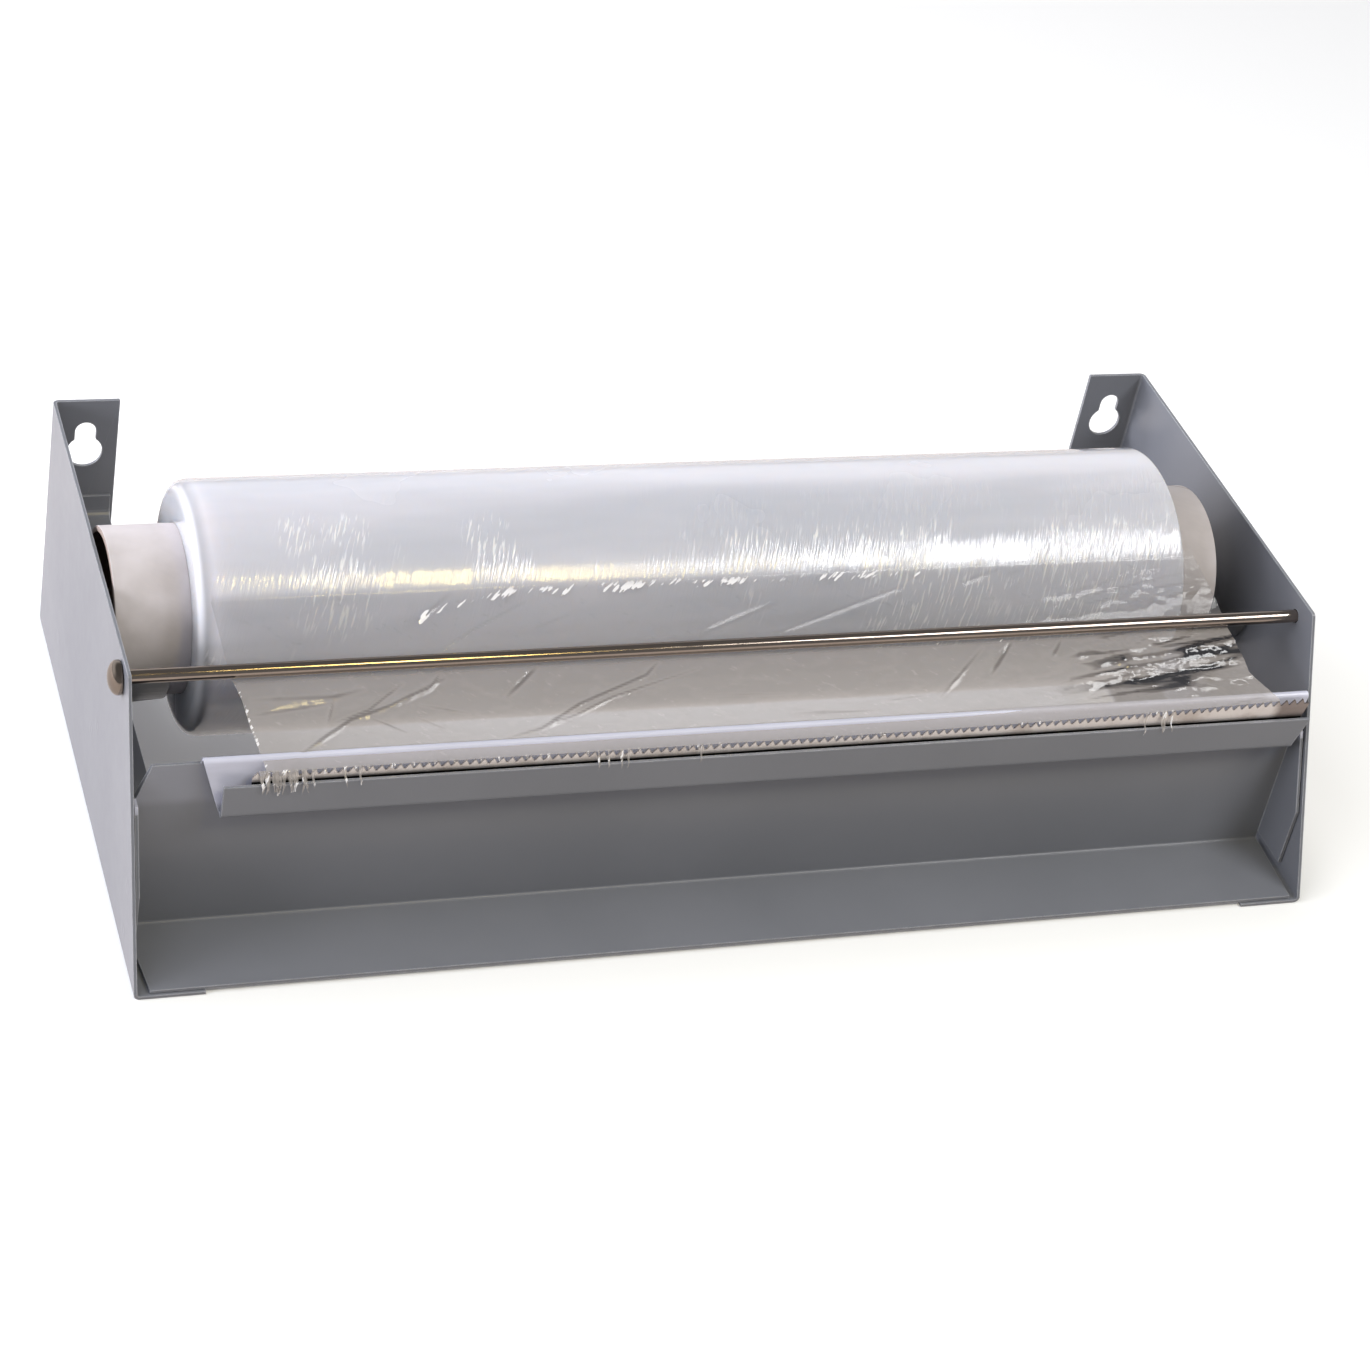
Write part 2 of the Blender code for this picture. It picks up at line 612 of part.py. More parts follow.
def wound_film_profile():
    """Closed profile of the wound film: its turns wander, so the left shoulder is soft and the right crisp."""
    half = (FILM_WIDTH + ROLL_WANDER) / 2
    bore = CORE_RADIUS + GAP
    soft = ROLL_LEFT_SHOULDER
    crisp = ROLL_RIGHT_SHOULDER
    left = arc((ROLL_RADIUS - soft, soft - half), soft, 0.0, -math.pi / 2)
    return [(ROLL_RADIUS - crisp, half), (ROLL_RADIUS, half - crisp)] + left + [(bore, -half), (bore, half)]


def build_reel(axis, core_look, film_look):
    """The core with the film wound on it; both turn about the axis empty."""
    inner = CORE_RADIUS - CORE_WALL
    core = turned("core_tube", tube_profile(CORE_RADIUS, inner, CORE_LENGTH, GAP), REEL_SEGMENTS, core_look)
    film = turned("film_roll", wound_film_profile(), REEL_SEGMENTS, film_look)
    for item, shift in ((core, CORE_SHIFT), (film, ROLL_SHIFT)):
        item.parent = axis
        item.location = (shift, 0.0, 0.0)
        item.rotation_euler = (0.0, math.pi / 2, 0.0)
    return core, film


def film_section():
    """Path of the free film: off the roll's top, under the rod and down to the blade."""
    blade_y = LIP_Y + STEEL + CHANNEL_WIDTH / 2
    roll = (REEL_Y, REEL_HEIGHT, ROLL_RADIUS + GAP, 1)
    rod = (ROD_Y, ROD_HEIGHT, ROD_RADIUS + GAP + FILM_SOLID, -1)
    leaving = belt_direction(roll, rod)
    entry = belt_point(roll, leaving - FILM_WRAP)
    lead = Vector((math.cos(leaving - FILM_WRAP), math.sin(leaving - FILM_WRAP))) * GAP
    end = (blade_y - FILM_PAST_BLADE, BLADE_TIP_HEIGHT + BLADE_LIFT + GAP, 0.0, 1)
    return bent_path([(entry.x - lead.x, entry.y - lead.y, 0.0, 1), roll, rod, end])


def build_film_web(look):
    """Free film between the roll and the blade, drifting and spreading sideways on its way."""
    path = film_section()
    left = FILM_SHIFT - FILM_WIDTH / 2
    right = FILM_SHIFT + FILM_WIDTH / 2
    bm = swept_sheet(path, [left, right])
    far = path[0].x
    near = path[-1].x
    for v in bm.verts:
        travel_share = (far - v.co.y) / (far - near)
        drift = FILM_DRIFT_LEFT if v.co.x < 0.0 else FILM_DRIFT_RIGHT
        v.co.x += drift * travel_share
    face_towards(bm, (0.0, ROD_Y, ROD_HEIGHT - ROD_RADIUS), (0.0, 0.0, -1.0))
    web = add_mesh("film_web", bm, look)
    give_thickness(web, FILM_SOLID)
    return web


def build():
    """Make every piece of the dispenser."""
    clear_scene()
    paint = (0.290, 0.300, 0.345)
    pieces = []
    for side in (-1, 1):
        hand = "left" if side < 0 else "right"
        pieces.append(build_side_plate(side, material(hand + "_side_paint", paint, 0.45, 0.0)))
        pieces.append(build_cradle(side, material(hand + "_cradle_paint", paint, 0.45, 0.0)))
        pieces.append(build_rod_cap(side, material(hand + "_cap_chrome", (0.80, 0.78, 0.76), 0.12, 1.0)))
    pieces.append(build_tray_panel(material("tray_paint", paint, 0.45, 0.0)))
    pieces.append(build_blade(material("blade_steel", (0.62, 0.58, 0.56), 0.30, 1.0)))
    pieces.append(build_rod(material("rod_chrome", (0.80, 0.77, 0.74), 0.10, 1.0)))
    axis = bpy.data.objects.new("reel_axis", None)
    axis.location = (0.0, REEL_Y, REEL_HEIGHT)
    collection(COLLECTION).objects.link(axis)
    core_look = material("core_card", (0.56, 0.52, 0.52), 0.70, 0.0)
    roll_look = material("film_wound", (0.72, 0.72, 0.80), 0.18, 0.0)
    pieces.extend(build_reel(axis, core_look, roll_look))
    pieces.append(build_film_web(material("film_clear", (0.80, 0.80, 0.86), 0.15, 0.0)))
    return pieces


build()
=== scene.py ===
# %% [markdown]
# # A cling film dispenser
#
# The dispenser is a frame of folded and painted sheet steel with a roll of clear film in it.
# The film runs under a polished rod and over a saw-tooth blade.
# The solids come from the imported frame. This lesson gives them their finishes and adds what is soft or very
# smooth.

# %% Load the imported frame
import math

import bmesh
import bpy
from mathutils import Matrix, Vector, noise


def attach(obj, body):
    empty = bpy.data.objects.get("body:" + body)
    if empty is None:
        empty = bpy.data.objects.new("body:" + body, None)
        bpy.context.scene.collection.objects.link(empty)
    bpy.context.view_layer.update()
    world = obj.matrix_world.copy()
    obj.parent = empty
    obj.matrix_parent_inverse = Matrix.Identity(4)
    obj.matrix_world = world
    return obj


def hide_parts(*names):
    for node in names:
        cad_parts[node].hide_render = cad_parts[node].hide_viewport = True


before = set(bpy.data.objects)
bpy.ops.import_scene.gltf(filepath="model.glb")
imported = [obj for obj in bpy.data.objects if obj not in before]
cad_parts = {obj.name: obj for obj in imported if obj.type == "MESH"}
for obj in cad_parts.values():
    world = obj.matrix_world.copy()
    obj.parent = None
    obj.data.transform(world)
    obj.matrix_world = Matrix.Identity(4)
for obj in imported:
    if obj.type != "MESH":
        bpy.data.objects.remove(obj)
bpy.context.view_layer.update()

print("solids:", sorted(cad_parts))

# %% [markdown]
# ## The camera
#
# The view comes from the front, left of the middle and well above the dispenser, with the camera a little
# tilted. A camera can be aimed with a constraint, but a tilt is easier to give as three turns in a row:
# round the upright axis, down towards the object, and then round the line of sight.

# %% Camera
CAMERA_PLACE = (-0.50103, -1.11222, 0.95378)
CAMERA_TURN = math.radians(-24.315)
CAMERA_DOWN = math.radians(36.702)
CAMERA_TILT = math.radians(11.896)
LENS_MM = 87.711

camera_data = bpy.data.cameras.new("photo_camera")
camera_data.lens = LENS_MM
camera_data.sensor_width = 36.0
camera_data.clip_start = 0.05
camera_data.clip_end = 30.0
camera = bpy.data.objects.new("photo_camera", camera_data)
bpy.context.scene.collection.objects.link(camera)
camera.matrix_world = (Matrix.Translation(CAMERA_PLACE)
                       @ Matrix.Rotation(CAMERA_TURN, 4, "Z")
                       @ Matrix.Rotation(math.pi / 2 - CAMERA_DOWN, 4, "X")
                       @ Matrix.Rotation(CAMERA_TILT, 4, "Z"))
bpy.context.scene.camera = camera
print("lens", LENS_MM, "mm")

# %% [markdown]
# ## Nodes in few words
#
# Each finish below is a small network of shader nodes. Adding a node, filling its sockets and linking it takes
# several lines each time, so short helpers do that. A socket gets either a plain value or another node's
# output.

# %% Helpers for finishes
def put(tree, kind, inputs=None, **settings):
    """Add a node, change its settings and fill its sockets."""
    node = tree.nodes.new(kind)
    for key, value in settings.items():
        setattr(node, key, value)
    for key, value in (inputs or {}).items():
        if isinstance(value, bpy.types.NodeSocket):
            tree.links.new(value, node.inputs[key])
        else:
            node.inputs[key].default_value = value
    return node


def maths(tree, operation, first, second=0.0):
    """One Math node; returns its result."""
    return put(tree, "ShaderNodeMath", {0: first, 1: second}, operation=operation).outputs[0]


def times(tree, first, *others):
    """Multiply values, from left to right."""
    for other in others:
        first = maths(tree, "MULTIPLY", first, other)
    return first


def plus(tree, first, second):
    """Add two values."""
    return maths(tree, "ADD", first, second)


def minus(tree, first, second):
    """Take the second value from the first."""
    return maths(tree, "SUBTRACT", first, second)


def vector_maths(tree, operation, first, second):
    """One Vector Math node whose result is a plain value, such as a distance."""
    return put(tree, "ShaderNodeVectorMath", {0: first, 1: second}, operation=operation).outputs["Value"]


def coordinates(tree, kind="Object"):
    """Where the surface is, or another of its coordinates by name."""
    return put(tree, "ShaderNodeTexCoord").outputs[kind]


def axes_of(tree, vector):
    """X, Y and Z of a vector, by name."""
    return put(tree, "ShaderNodeSeparateXYZ", {0: vector}).outputs


def between(tree, value, low, high, out_low=0.0, out_high=1.0):
    """Map a value smoothly from one range to another."""
    made = put(tree, "ShaderNodeMapRange", {"Value": value, "From Min": low, "From Max": high,
                                            "To Min": out_low, "To Max": out_high},
               interpolation_type="SMOOTHSTEP")
    return made.outputs["Result"]


def blend_colours(tree, share, first, second):
    """Mix two colours by a share."""
    made = put(tree, "ShaderNodeMix", {"Factor": share}, data_type="RGBA")
    for slot, colour in ((6, first), (7, second)):
        if isinstance(colour, bpy.types.NodeSocket):
            tree.links.new(colour, made.inputs[slot])
        else:
            made.inputs[slot].default_value = (*colour, 1.0)
    return made.outputs[2]


def noise_of(tree, where, scale, detail=3.0, roughness=0.5, stretch=(1.0, 1.0, 1.0), lean=0.0):
    """Noise in the pattern space of where, first turned and then stretched, so that its streaks lean."""
    turned = put(tree, "ShaderNodeMapping", {"Vector": where, "Rotation": (0.0, 0.0, lean)})
    mapped = put(tree, "ShaderNodeMapping", {"Vector": turned.outputs[0], "Scale": stretch})
    made = put(tree, "ShaderNodeTexNoise", {"Vector": mapped.outputs[0], "Scale": scale, "Detail": detail,
                                            "Roughness": roughness})
    return made.outputs["Fac"]


def bump_of(tree, height, distance, strength, under=None):
    """A bump from a height; several bumps are chained through under."""
    inputs = {"Height": height, "Distance": distance, "Strength": strength}
    if under is not None:
        inputs["Normal"] = under
    return put(tree, "ShaderNodeBump", inputs).outputs["Normal"]


def start_finish(name, **sockets):
    """A new material with its Principled shader set by socket name; returns material, tree and shader."""
    made = bpy.data.materials.new(name)
    made.use_nodes = True
    shader = made.node_tree.nodes["Principled BSDF"]
    for key, value in sockets.items():
        shader.inputs[key.replace("_", " ")].default_value = value
    return made, made.node_tree, shader


def drive(tree, shader, **outputs):
    """Link outputs of nodes to a shader by socket name."""
    for key, output in outputs.items():
        tree.links.new(output, shader.inputs[key.replace("_", " ")])


def wear_finish(piece, made):
    """Give every slot of a piece one finish."""
    if not piece.material_slots:
        piece.data.materials.append(made)
    for holder in piece.material_slots:
        holder.material = made


# %% [markdown]
# ## Painted steel
#
# The frame is powder coated in a satin blue-grey. Such a coat is one even colour, but never perfectly even:
# it has a fine orange peel, the sheen changes a little over each sheet, and where a strip is spot-welded behind
# a side plate the steel shows a shallow dimple.
# Noise in Object coordinates keeps the pattern at its real size in metres on every sheet.
#
# The sharp edges carry a painted highlight. A Bevel node gives the normal that a rounded edge
# would have, and where that normal differs from the true one the colour is paler, broken up by noise.
# The sloping shelf behind the blade carries a painted sheen: a mask in Object coordinates lightens it in
# streaks.

# %% Painted steel
PAINT = (0.205, 0.215, 0.246)
PAINT_DARK = (0.184, 0.194, 0.222)
CLOUD_SCALE = 9.0
GRAIN_SCALE = 160.0
PEEL_SCALE = 900.0
PEEL_HEIGHT = 0.00006
WELD_MARKS = [(-0.1011, 0.0369), (-0.0997, 0.0118), (-0.0175, 0.0540), (-0.0060, 0.0430), (0.0791, 0.0274)]
SIDE_X = 0.270
WELD_RADIUS = 0.0028
WELD_BOWL = 0.75
WELD_RIM = 1.6
WELD_DEPTH = 0.00012
EDGE_HIGHLIGHT_TONE = (0.60, 0.62, 0.68)
EDGE_WIDTH = 0.0008
EDGE_DIFFERS = (0.02, 0.14)
HIGHLIGHT_BREAK_SCALE = 70.0
SHELF_SHEEN_TONE = (0.72, 0.74, 0.90)
SHELF_SHEEN_SCALE = 60.0
SHELF_FRONT = -0.0941
SHELF_BACK = -0.0874
SHELF_FOOT = 0.066


def weld_height(tree, place, side):
    """A shallow dimple with a raised rim at each weld on the outer face of a side plate."""
    height = 0.0
    for y, z in WELD_MARKS:
        away = vector_maths(tree, "DISTANCE", place, (side * SIDE_X, y, z))
        ring = maths(tree, "DIVIDE", away, WELD_RADIUS)
        bowl = between(tree, ring, 0.25, WELD_BOWL)
        rim = between(tree, ring, WELD_BOWL, WELD_RIM)
        height = plus(tree, height, minus(tree, bowl, rim))
    return height


def edge_share(tree):
    """1 on a sharp edge and 0 on the flat."""
    soft = put(tree, "ShaderNodeBevel", {"Radius": EDGE_WIDTH}, samples=4).outputs["Normal"]
    true = put(tree, "ShaderNodeNewGeometry").outputs["Normal"]
    likeness = vector_maths(tree, "DOT_PRODUCT", soft, true)
    return between(tree, minus(tree, 1.0, likeness), *EDGE_DIFFERS)


def shelf_share(tree, place):
    """1 on the sloping shelf behind the blade."""
    parts = axes_of(tree, place)
    before = between(tree, parts["Y"], SHELF_FRONT - 0.0002, SHELF_FRONT)
    behind = between(tree, parts["Y"], SHELF_BACK, SHELF_BACK + 0.0004, 1.0, 0.0)
    above = between(tree, parts["Z"], SHELF_FOOT, SHELF_FOOT + 0.006)
    return times(tree, before, behind, above)


def painted_steel(name, weld_side=0, sheen_on_shelf=False):
    """Satin powder coat; weld_side adds the weld marks of the left (-1) or right (1) plate."""
    made, tree, shader = start_finish(name, Metallic=0.0, Specular_IOR_Level=0.5, Coat_Weight=0.35,
                                      Coat_Roughness=0.22)
    place = coordinates(tree)
    cloud = noise_of(tree, place, CLOUD_SCALE, 4.0)
    grain = noise_of(tree, place, GRAIN_SCALE)
    colour = blend_colours(tree, between(tree, cloud, 0.30, 0.70), PAINT, PAINT_DARK)
    # Painted sheen: the shelf behind the blade is lighter, in streaks.
    if sheen_on_shelf:
        streaks = noise_of(tree, place, SHELF_SHEEN_SCALE, 4.0, 0.6, stretch=(0.15, 1.0, 1.0))
        shelf_sheen = times(tree, shelf_share(tree, place), between(tree, streaks, 0.25, 0.7, 1.0, 0.75))
        colour = blend_colours(tree, shelf_sheen, colour, SHELF_SHEEN_TONE)
    # Painted highlight: the sharp edges are paler, broken up by noise.
    highlight_breaks = between(tree, noise_of(tree, place, HIGHLIGHT_BREAK_SCALE, 4.0, 0.6), 0.35, 0.6, 0.45, 0.9)
    colour = blend_colours(tree, times(tree, edge_share(tree), highlight_breaks), colour, EDGE_HIGHLIGHT_TONE)
    sheen = plus(tree, between(tree, cloud, 0.30, 0.75, 0.28, 0.36), times(tree, grain, 0.06))
    normal = bump_of(tree, noise_of(tree, place, PEEL_SCALE, 2.0), PEEL_HEIGHT, 0.35)
    if weld_side:
        normal = bump_of(tree, weld_height(tree, place, weld_side), WELD_DEPTH, 0.8, normal)
    drive(tree, shader, Base_Color=colour, Roughness=sheen, Normal=normal)
    return made


paints = {
    "left_side_plate": painted_steel("grey_coat_left", -1),
    "right_side_plate": painted_steel("grey_coat_right", 1),
    "tray_panel": painted_steel("grey_coat_tray", sheen_on_shelf=True),
    "left_core_cradle": painted_steel("grey_coat_left_cradle"),
    "right_core_cradle": painted_steel("grey_coat_right_cradle"),
}
for name, made in paints.items():
    wear_finish(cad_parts[name], made)
print("painted:", sorted(paints))

# %% [markdown]
# ## Rounded sheet edges
#
# Paint draws back from a cut edge and leaves it softly rounded, and such an edge catches a thin line of
# light. The solids have sharp edges, so two modifiers finish them: Weld joins the loose triangles, and Bevel
# rounds the edges that are sharper than thirty degrees by a few tenths of a millimetre.

# %% Rounded sheet edges
EDGE_ROUNDING = 0.00035
EDGE_SHARP = math.radians(30.0)
JOIN_GAP = 0.00001


def round_edges(piece, width):
    """Weld a solid's triangles and round its sharp edges."""
    join = piece.modifiers.new("join", "WELD")
    join.merge_threshold = JOIN_GAP
    edge = piece.modifiers.new("round", "BEVEL")
    edge.width = width
    edge.segments = 2
    edge.limit_method = "ANGLE"
    edge.angle_limit = EDGE_SHARP


for name in paints:
    round_edges(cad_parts[name], EDGE_ROUNDING)
print("edges rounded to", EDGE_ROUNDING * 1000, "mm")

# %% [markdown]
# ## The blade
#
# The strip is thin stainless steel, brushed along its length. Noise that is stretched some eighty times along X
# gives the brush lines. It drives both the roughness and a very low bump.
# The edges of the teeth are darker, the free right end is stained brown, and the foot is painted black as
# shade where it goes down behind the lip. The teeth are found by their height above the bowed strip.

# %% Blade steel
BLADE_TONE = (0.80, 0.755, 0.73)
BLADE_TONE_DARK = (0.58, 0.52, 0.48)
BRUSH_SCALE = 1500.0
BRUSH_STRETCH = (0.012, 1.0, 1.0)
BRUSH_HEIGHT = 0.00003
TOOTH_EDGE_TONE = (0.13, 0.12, 0.12)
STAIN_TONE = (0.21, 0.165, 0.15)
STAIN_START = 0.240
STAIN_SCALE = 60.0
SLOT_SHADE_TONE = (0.012, 0.012, 0.012)
LIP_TOP = 0.0823
TIP_Z = 0.0875
TOOTH_TALL = 0.0027
BLADE_LIFT = 0.0050
BLADE_LEVEL_X = 0.022
BLADE_END_X = 0.265


def blade_lift(x):
    """How far the bowed blade stands out of its channel at x."""
    share = max(0.0, (x - BLADE_LEVEL_X) / (BLADE_END_X - BLADE_LEVEL_X))
    return BLADE_LIFT * share ** 2


def blade_steel():
    """Brushed stainless steel with darker tooth edges, a stained end and a foot painted black as shade."""
    made, tree, shader = start_finish("brushed_blade_steel", Metallic=0.85)
    place = coordinates(tree)
    parts = axes_of(tree, place)
    brush = noise_of(tree, place, BRUSH_SCALE, 3.0, 0.6, stretch=BRUSH_STRETCH)
    stain = noise_of(tree, place, STAIN_SCALE, 4.0, 0.6)
    colour = blend_colours(tree, between(tree, stain, 0.45, 0.75), BLADE_TONE, BLADE_TONE_DARK)
    wavy_start = plus(tree, STAIN_START, times(tree, stain, 0.012))
    brown = between(tree, minus(tree, parts["X"], wavy_start), 0.0, 0.005, 0.0, 0.85)
    colour = blend_colours(tree, brown, colour, STAIN_TONE)
    bow = maths(tree, "DIVIDE", minus(tree, parts["X"], BLADE_LEVEL_X), BLADE_END_X - BLADE_LEVEL_X)
    bow = maths(tree, "MAXIMUM", 0.0, bow)
    root_z = plus(tree, TIP_Z - TOOTH_TALL, times(tree, bow, bow, BLADE_LIFT))
    toothed = between(tree, minus(tree, parts["Z"], root_z), -0.0006, 0.0)
    # The edges of the teeth are drawn darker.
    colour = blend_colours(tree, times(tree, edge_share(tree), toothed, 0.9), colour, TOOTH_EDGE_TONE)
    # Painted shade: the blade is black where it goes down into the slot behind the lip.
    slot_shade = between(tree, parts["Z"], LIP_TOP - 0.0001, LIP_TOP + 0.0005, 1.0, 0.0)
    colour = blend_colours(tree, slot_shade, colour, SLOT_SHADE_TONE)
    drive(tree, shader, Base_Color=colour, Roughness=between(tree, brush, 0.3, 0.7, 0.28, 0.46),
          Normal=bump_of(tree, brush, BRUSH_HEIGHT, 0.5))
    return made


wear_finish(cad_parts["cutting_blade"], blade_steel())
print("blade done")

# %% [markdown]
# ## Turned pieces
#
# The rod, its caps, the paper core and the wound film are all round about a line along X.
# One profile spun about that line makes each of them, and many steps keep the highlights smooth.
# After the spin the doubles are merged and the normals are recalculated, because a spin can leave them
# inwards. The film and the floor further below need the same last steps, so these are helpers of their own.

# %% Spin helper
REEL_AXIS = Vector((0.0, 0.01295, 0.0916))
ROD_AXIS = Vector((0.0, -0.05698, 0.1112))
SPIN_GAP = 0.000002
SPIN_SHARP = math.radians(40.0)


def smooth_out(bm):
    """Point the faces of a bmesh outwards and shade them smooth."""
    bmesh.ops.recalc_face_normals(bm, faces=bm.faces)
    for face in bm.faces:
        face.smooth = True


def piece_from(bm, name):
    """Turn a bmesh into an object of the scene."""
    mesh = bpy.data.meshes.new(name)
    bm.to_mesh(mesh)
    bm.free()
    piece = bpy.data.objects.new(name, mesh)
    bpy.context.scene.collection.objects.link(piece)
    return piece


def spun(name, profile, axis_point, steps, made, body, replaced):
    """Spin a profile of (x, radius) points about a line along X and let it stand for a CAD node."""
    bm = bmesh.new()
    row = [bm.verts.new((x, axis_point.y, axis_point.z + radius)) for x, radius in profile]
    edges = [bm.edges.new(pair) for pair in zip(row, row[1:])]
    bmesh.ops.spin(bm, geom=row + edges, cent=axis_point, axis=(1.0, 0.0, 0.0), angle=math.tau, steps=steps,
                   use_merge=True)
    bmesh.ops.remove_doubles(bm, verts=bm.verts, dist=SPIN_GAP)
    smooth_out(bm)
    for edge in bm.edges:
        edge.smooth = not edge.is_manifold or edge.calc_face_angle(0.0) < SPIN_SHARP
    piece = piece_from(bm, name)
    wear_finish(piece, made)
    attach(piece, body)
    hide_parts(replaced)
    print(name, len(piece.data.polygons), "faces")


def rounded(corner, before, after, radius, steps):
    """Points of a small round between two straight runs of a profile."""
    corner, before, after = Vector(corner), Vector(before), Vector(after)
    start = corner + (before - corner).normalized() * radius
    end = corner + (after - corner).normalized() * radius
    shares = [i / steps for i in range(steps + 1)]
    return [tuple(start.lerp(corner, t).lerp(corner.lerp(end, t), t)) for t in shares]


# %% [markdown]
# ## Polished rod and caps
#
# The rod is drawn steel with chrome, so it shows fine lines along its length. Its dark, brownish tone is
# partly the metal's own and partly painted shade for the dark room that the chrome would reflect, as on the
# caps.
# The caps are pressed on its ends; their domes carry only faint turning marks.

# %% Polished rod and caps
ROD_RADIUS = 0.003
ROD_HALF = 0.2733
ROD_CHAMFER = 0.0006
# Rod and cap tones: partly the metal's own brown, partly painted shade for the reflected dark room.
ROD_TONE_AND_SHADE = (0.37, 0.31, 0.265)
ROD_STEPS = 64
CAP_RADIUS = 0.0074
CAP_START = 0.2703
CAP_RIM = 0.0012
CAP_HEIGHT = 0.0054
CAP_BORE = 0.0033
CAP_DEPTH = 0.0033
CAP_ROUND = 0.0003
CAP_TONE_AND_SHADE = (0.30, 0.25, 0.21)
DOME_STEPS = 14
HAZE_SCALE = 40.0
HAZE_DARK = 0.86


def polished(name, tone, along, grain):
    """Chrome with fine marks stretched by along."""
    made, tree, shader = start_finish(name, Metallic=1.0)
    place = coordinates(tree)
    lines = noise_of(tree, place, grain, 3.0, 0.6, stretch=along)
    haze = noise_of(tree, place, HAZE_SCALE)
    drive(tree, shader, Base_Color=blend_colours(tree, haze, tone, tuple(HAZE_DARK * c for c in tone)),
          Roughness=between(tree, haze, 0.3, 0.7, 0.09, 0.17), Normal=bump_of(tree, lines, 0.00001, 0.4))
    return made


def rod_profile():
    """A rod with a small chamfer at each end."""
    left = [(-ROD_HALF, 0.0), (-ROD_HALF, ROD_RADIUS - ROD_CHAMFER), (-ROD_HALF + ROD_CHAMFER, ROD_RADIUS)]
    return left + [(-x, radius) for x, radius in reversed(left)]


def cap_profile(side):
    """Dome, rim and blind bore of a rod cap."""
    dome = []
    for i in range(DOME_STEPS + 1):
        angle = math.pi / 2 * i / DOME_STEPS
        dome.append((CAP_RIM + (CAP_HEIGHT - CAP_RIM) * math.cos(angle), CAP_RADIUS * math.sin(angle)))
    inside = [(CAP_ROUND, CAP_RADIUS), (0.0, CAP_RADIUS - CAP_ROUND), (0.0, CAP_BORE), (CAP_DEPTH, CAP_BORE),
              (CAP_DEPTH, 0.0)]
    return [(side * (CAP_START + x), radius) for x, radius in dome + inside]


rod_chrome = polished("rod_chrome", ROD_TONE_AND_SHADE, (0.01, 1.0, 1.0), 1800.0)
cap_chrome = polished("cap_chrome", CAP_TONE_AND_SHADE, (1.0, 1.0, 1.0), 300.0)
spun("polished_rod", rod_profile(), ROD_AXIS, ROD_STEPS, rod_chrome, "guide_rod", "guide_rod")
for side, hand in ((-1, "left"), (1, "right")):
    spun("domed_cap_" + hand, cap_profile(side), ROD_AXIS, ROD_STEPS, cap_chrome, "guide_rod",
         hand + "_rod_cap")

# %% [markdown]
# ## Round coordinates
#
# The core and the film are wound, so their patterns run round the axis. Object coordinates are straight, but
# an arctangent turns them into a distance round the drum. The jump of the angle is put at the bottom,
# where nobody looks.

# %% Round coordinates
def round_coordinates(tree, radius):
    """Object coordinates unrolled: along the axis, round it, away from it, and flat with the first two."""
    place = coordinates(tree)
    parts = axes_of(tree, place)
    y, z = minus(tree, parts["Y"], REEL_AXIS.y), minus(tree, parts["Z"], REEL_AXIS.z)
    around = times(tree, maths(tree, "ARCTAN2", y, z), radius)
    away = maths(tree, "SQRT", plus(tree, times(tree, y, y), times(tree, z, z)))
    flat = put(tree, "ShaderNodeCombineXYZ", {"X": parts["X"], "Y": around}).outputs[0]
    return {"place": place, "along": parts["X"], "around": around, "away": away, "flat": flat}


def end_share(tree, low, high):
    """1 on the end faces of a round piece."""
    facing = axes_of(tree, coordinates(tree, "Normal"))["X"]
    return between(tree, maths(tree, "ABSOLUTE", facing), low, high)


# %% [markdown]
# ## The paper core
#
# The core is wound from strips of grey card, so one butt joint climbs round it like a screw.
# The joint is drawn as a thin dark line with a soft step beside it, and noise along and across the strip gives
# the card its fibres. The cut ends and the bore are darker and brownish.

# %% Paper core
CORE_RADIUS = 0.0365
CORE_BORE = 0.0340
CORE_LEFT = -0.2658
CORE_RIGHT = 0.2462
CORE_ROUND = 0.0006
CORE_STEPS = 128
CARD = (0.63, 0.60, 0.63)
CARD_SHADE = (0.46, 0.43, 0.44)
CARD_FIBRE = (0.66, 0.60, 0.56)
CARD_CUT = (0.20, 0.14, 0.11)
FIBRE_SCALE = 500.0
FIBRE_STRETCH = (0.25, 1.0, 1.0)
FIBRE_LEAN = 0.6
PLY_PITCH = 0.118
PLY_START = 10.37
PLY_LINE = 0.009


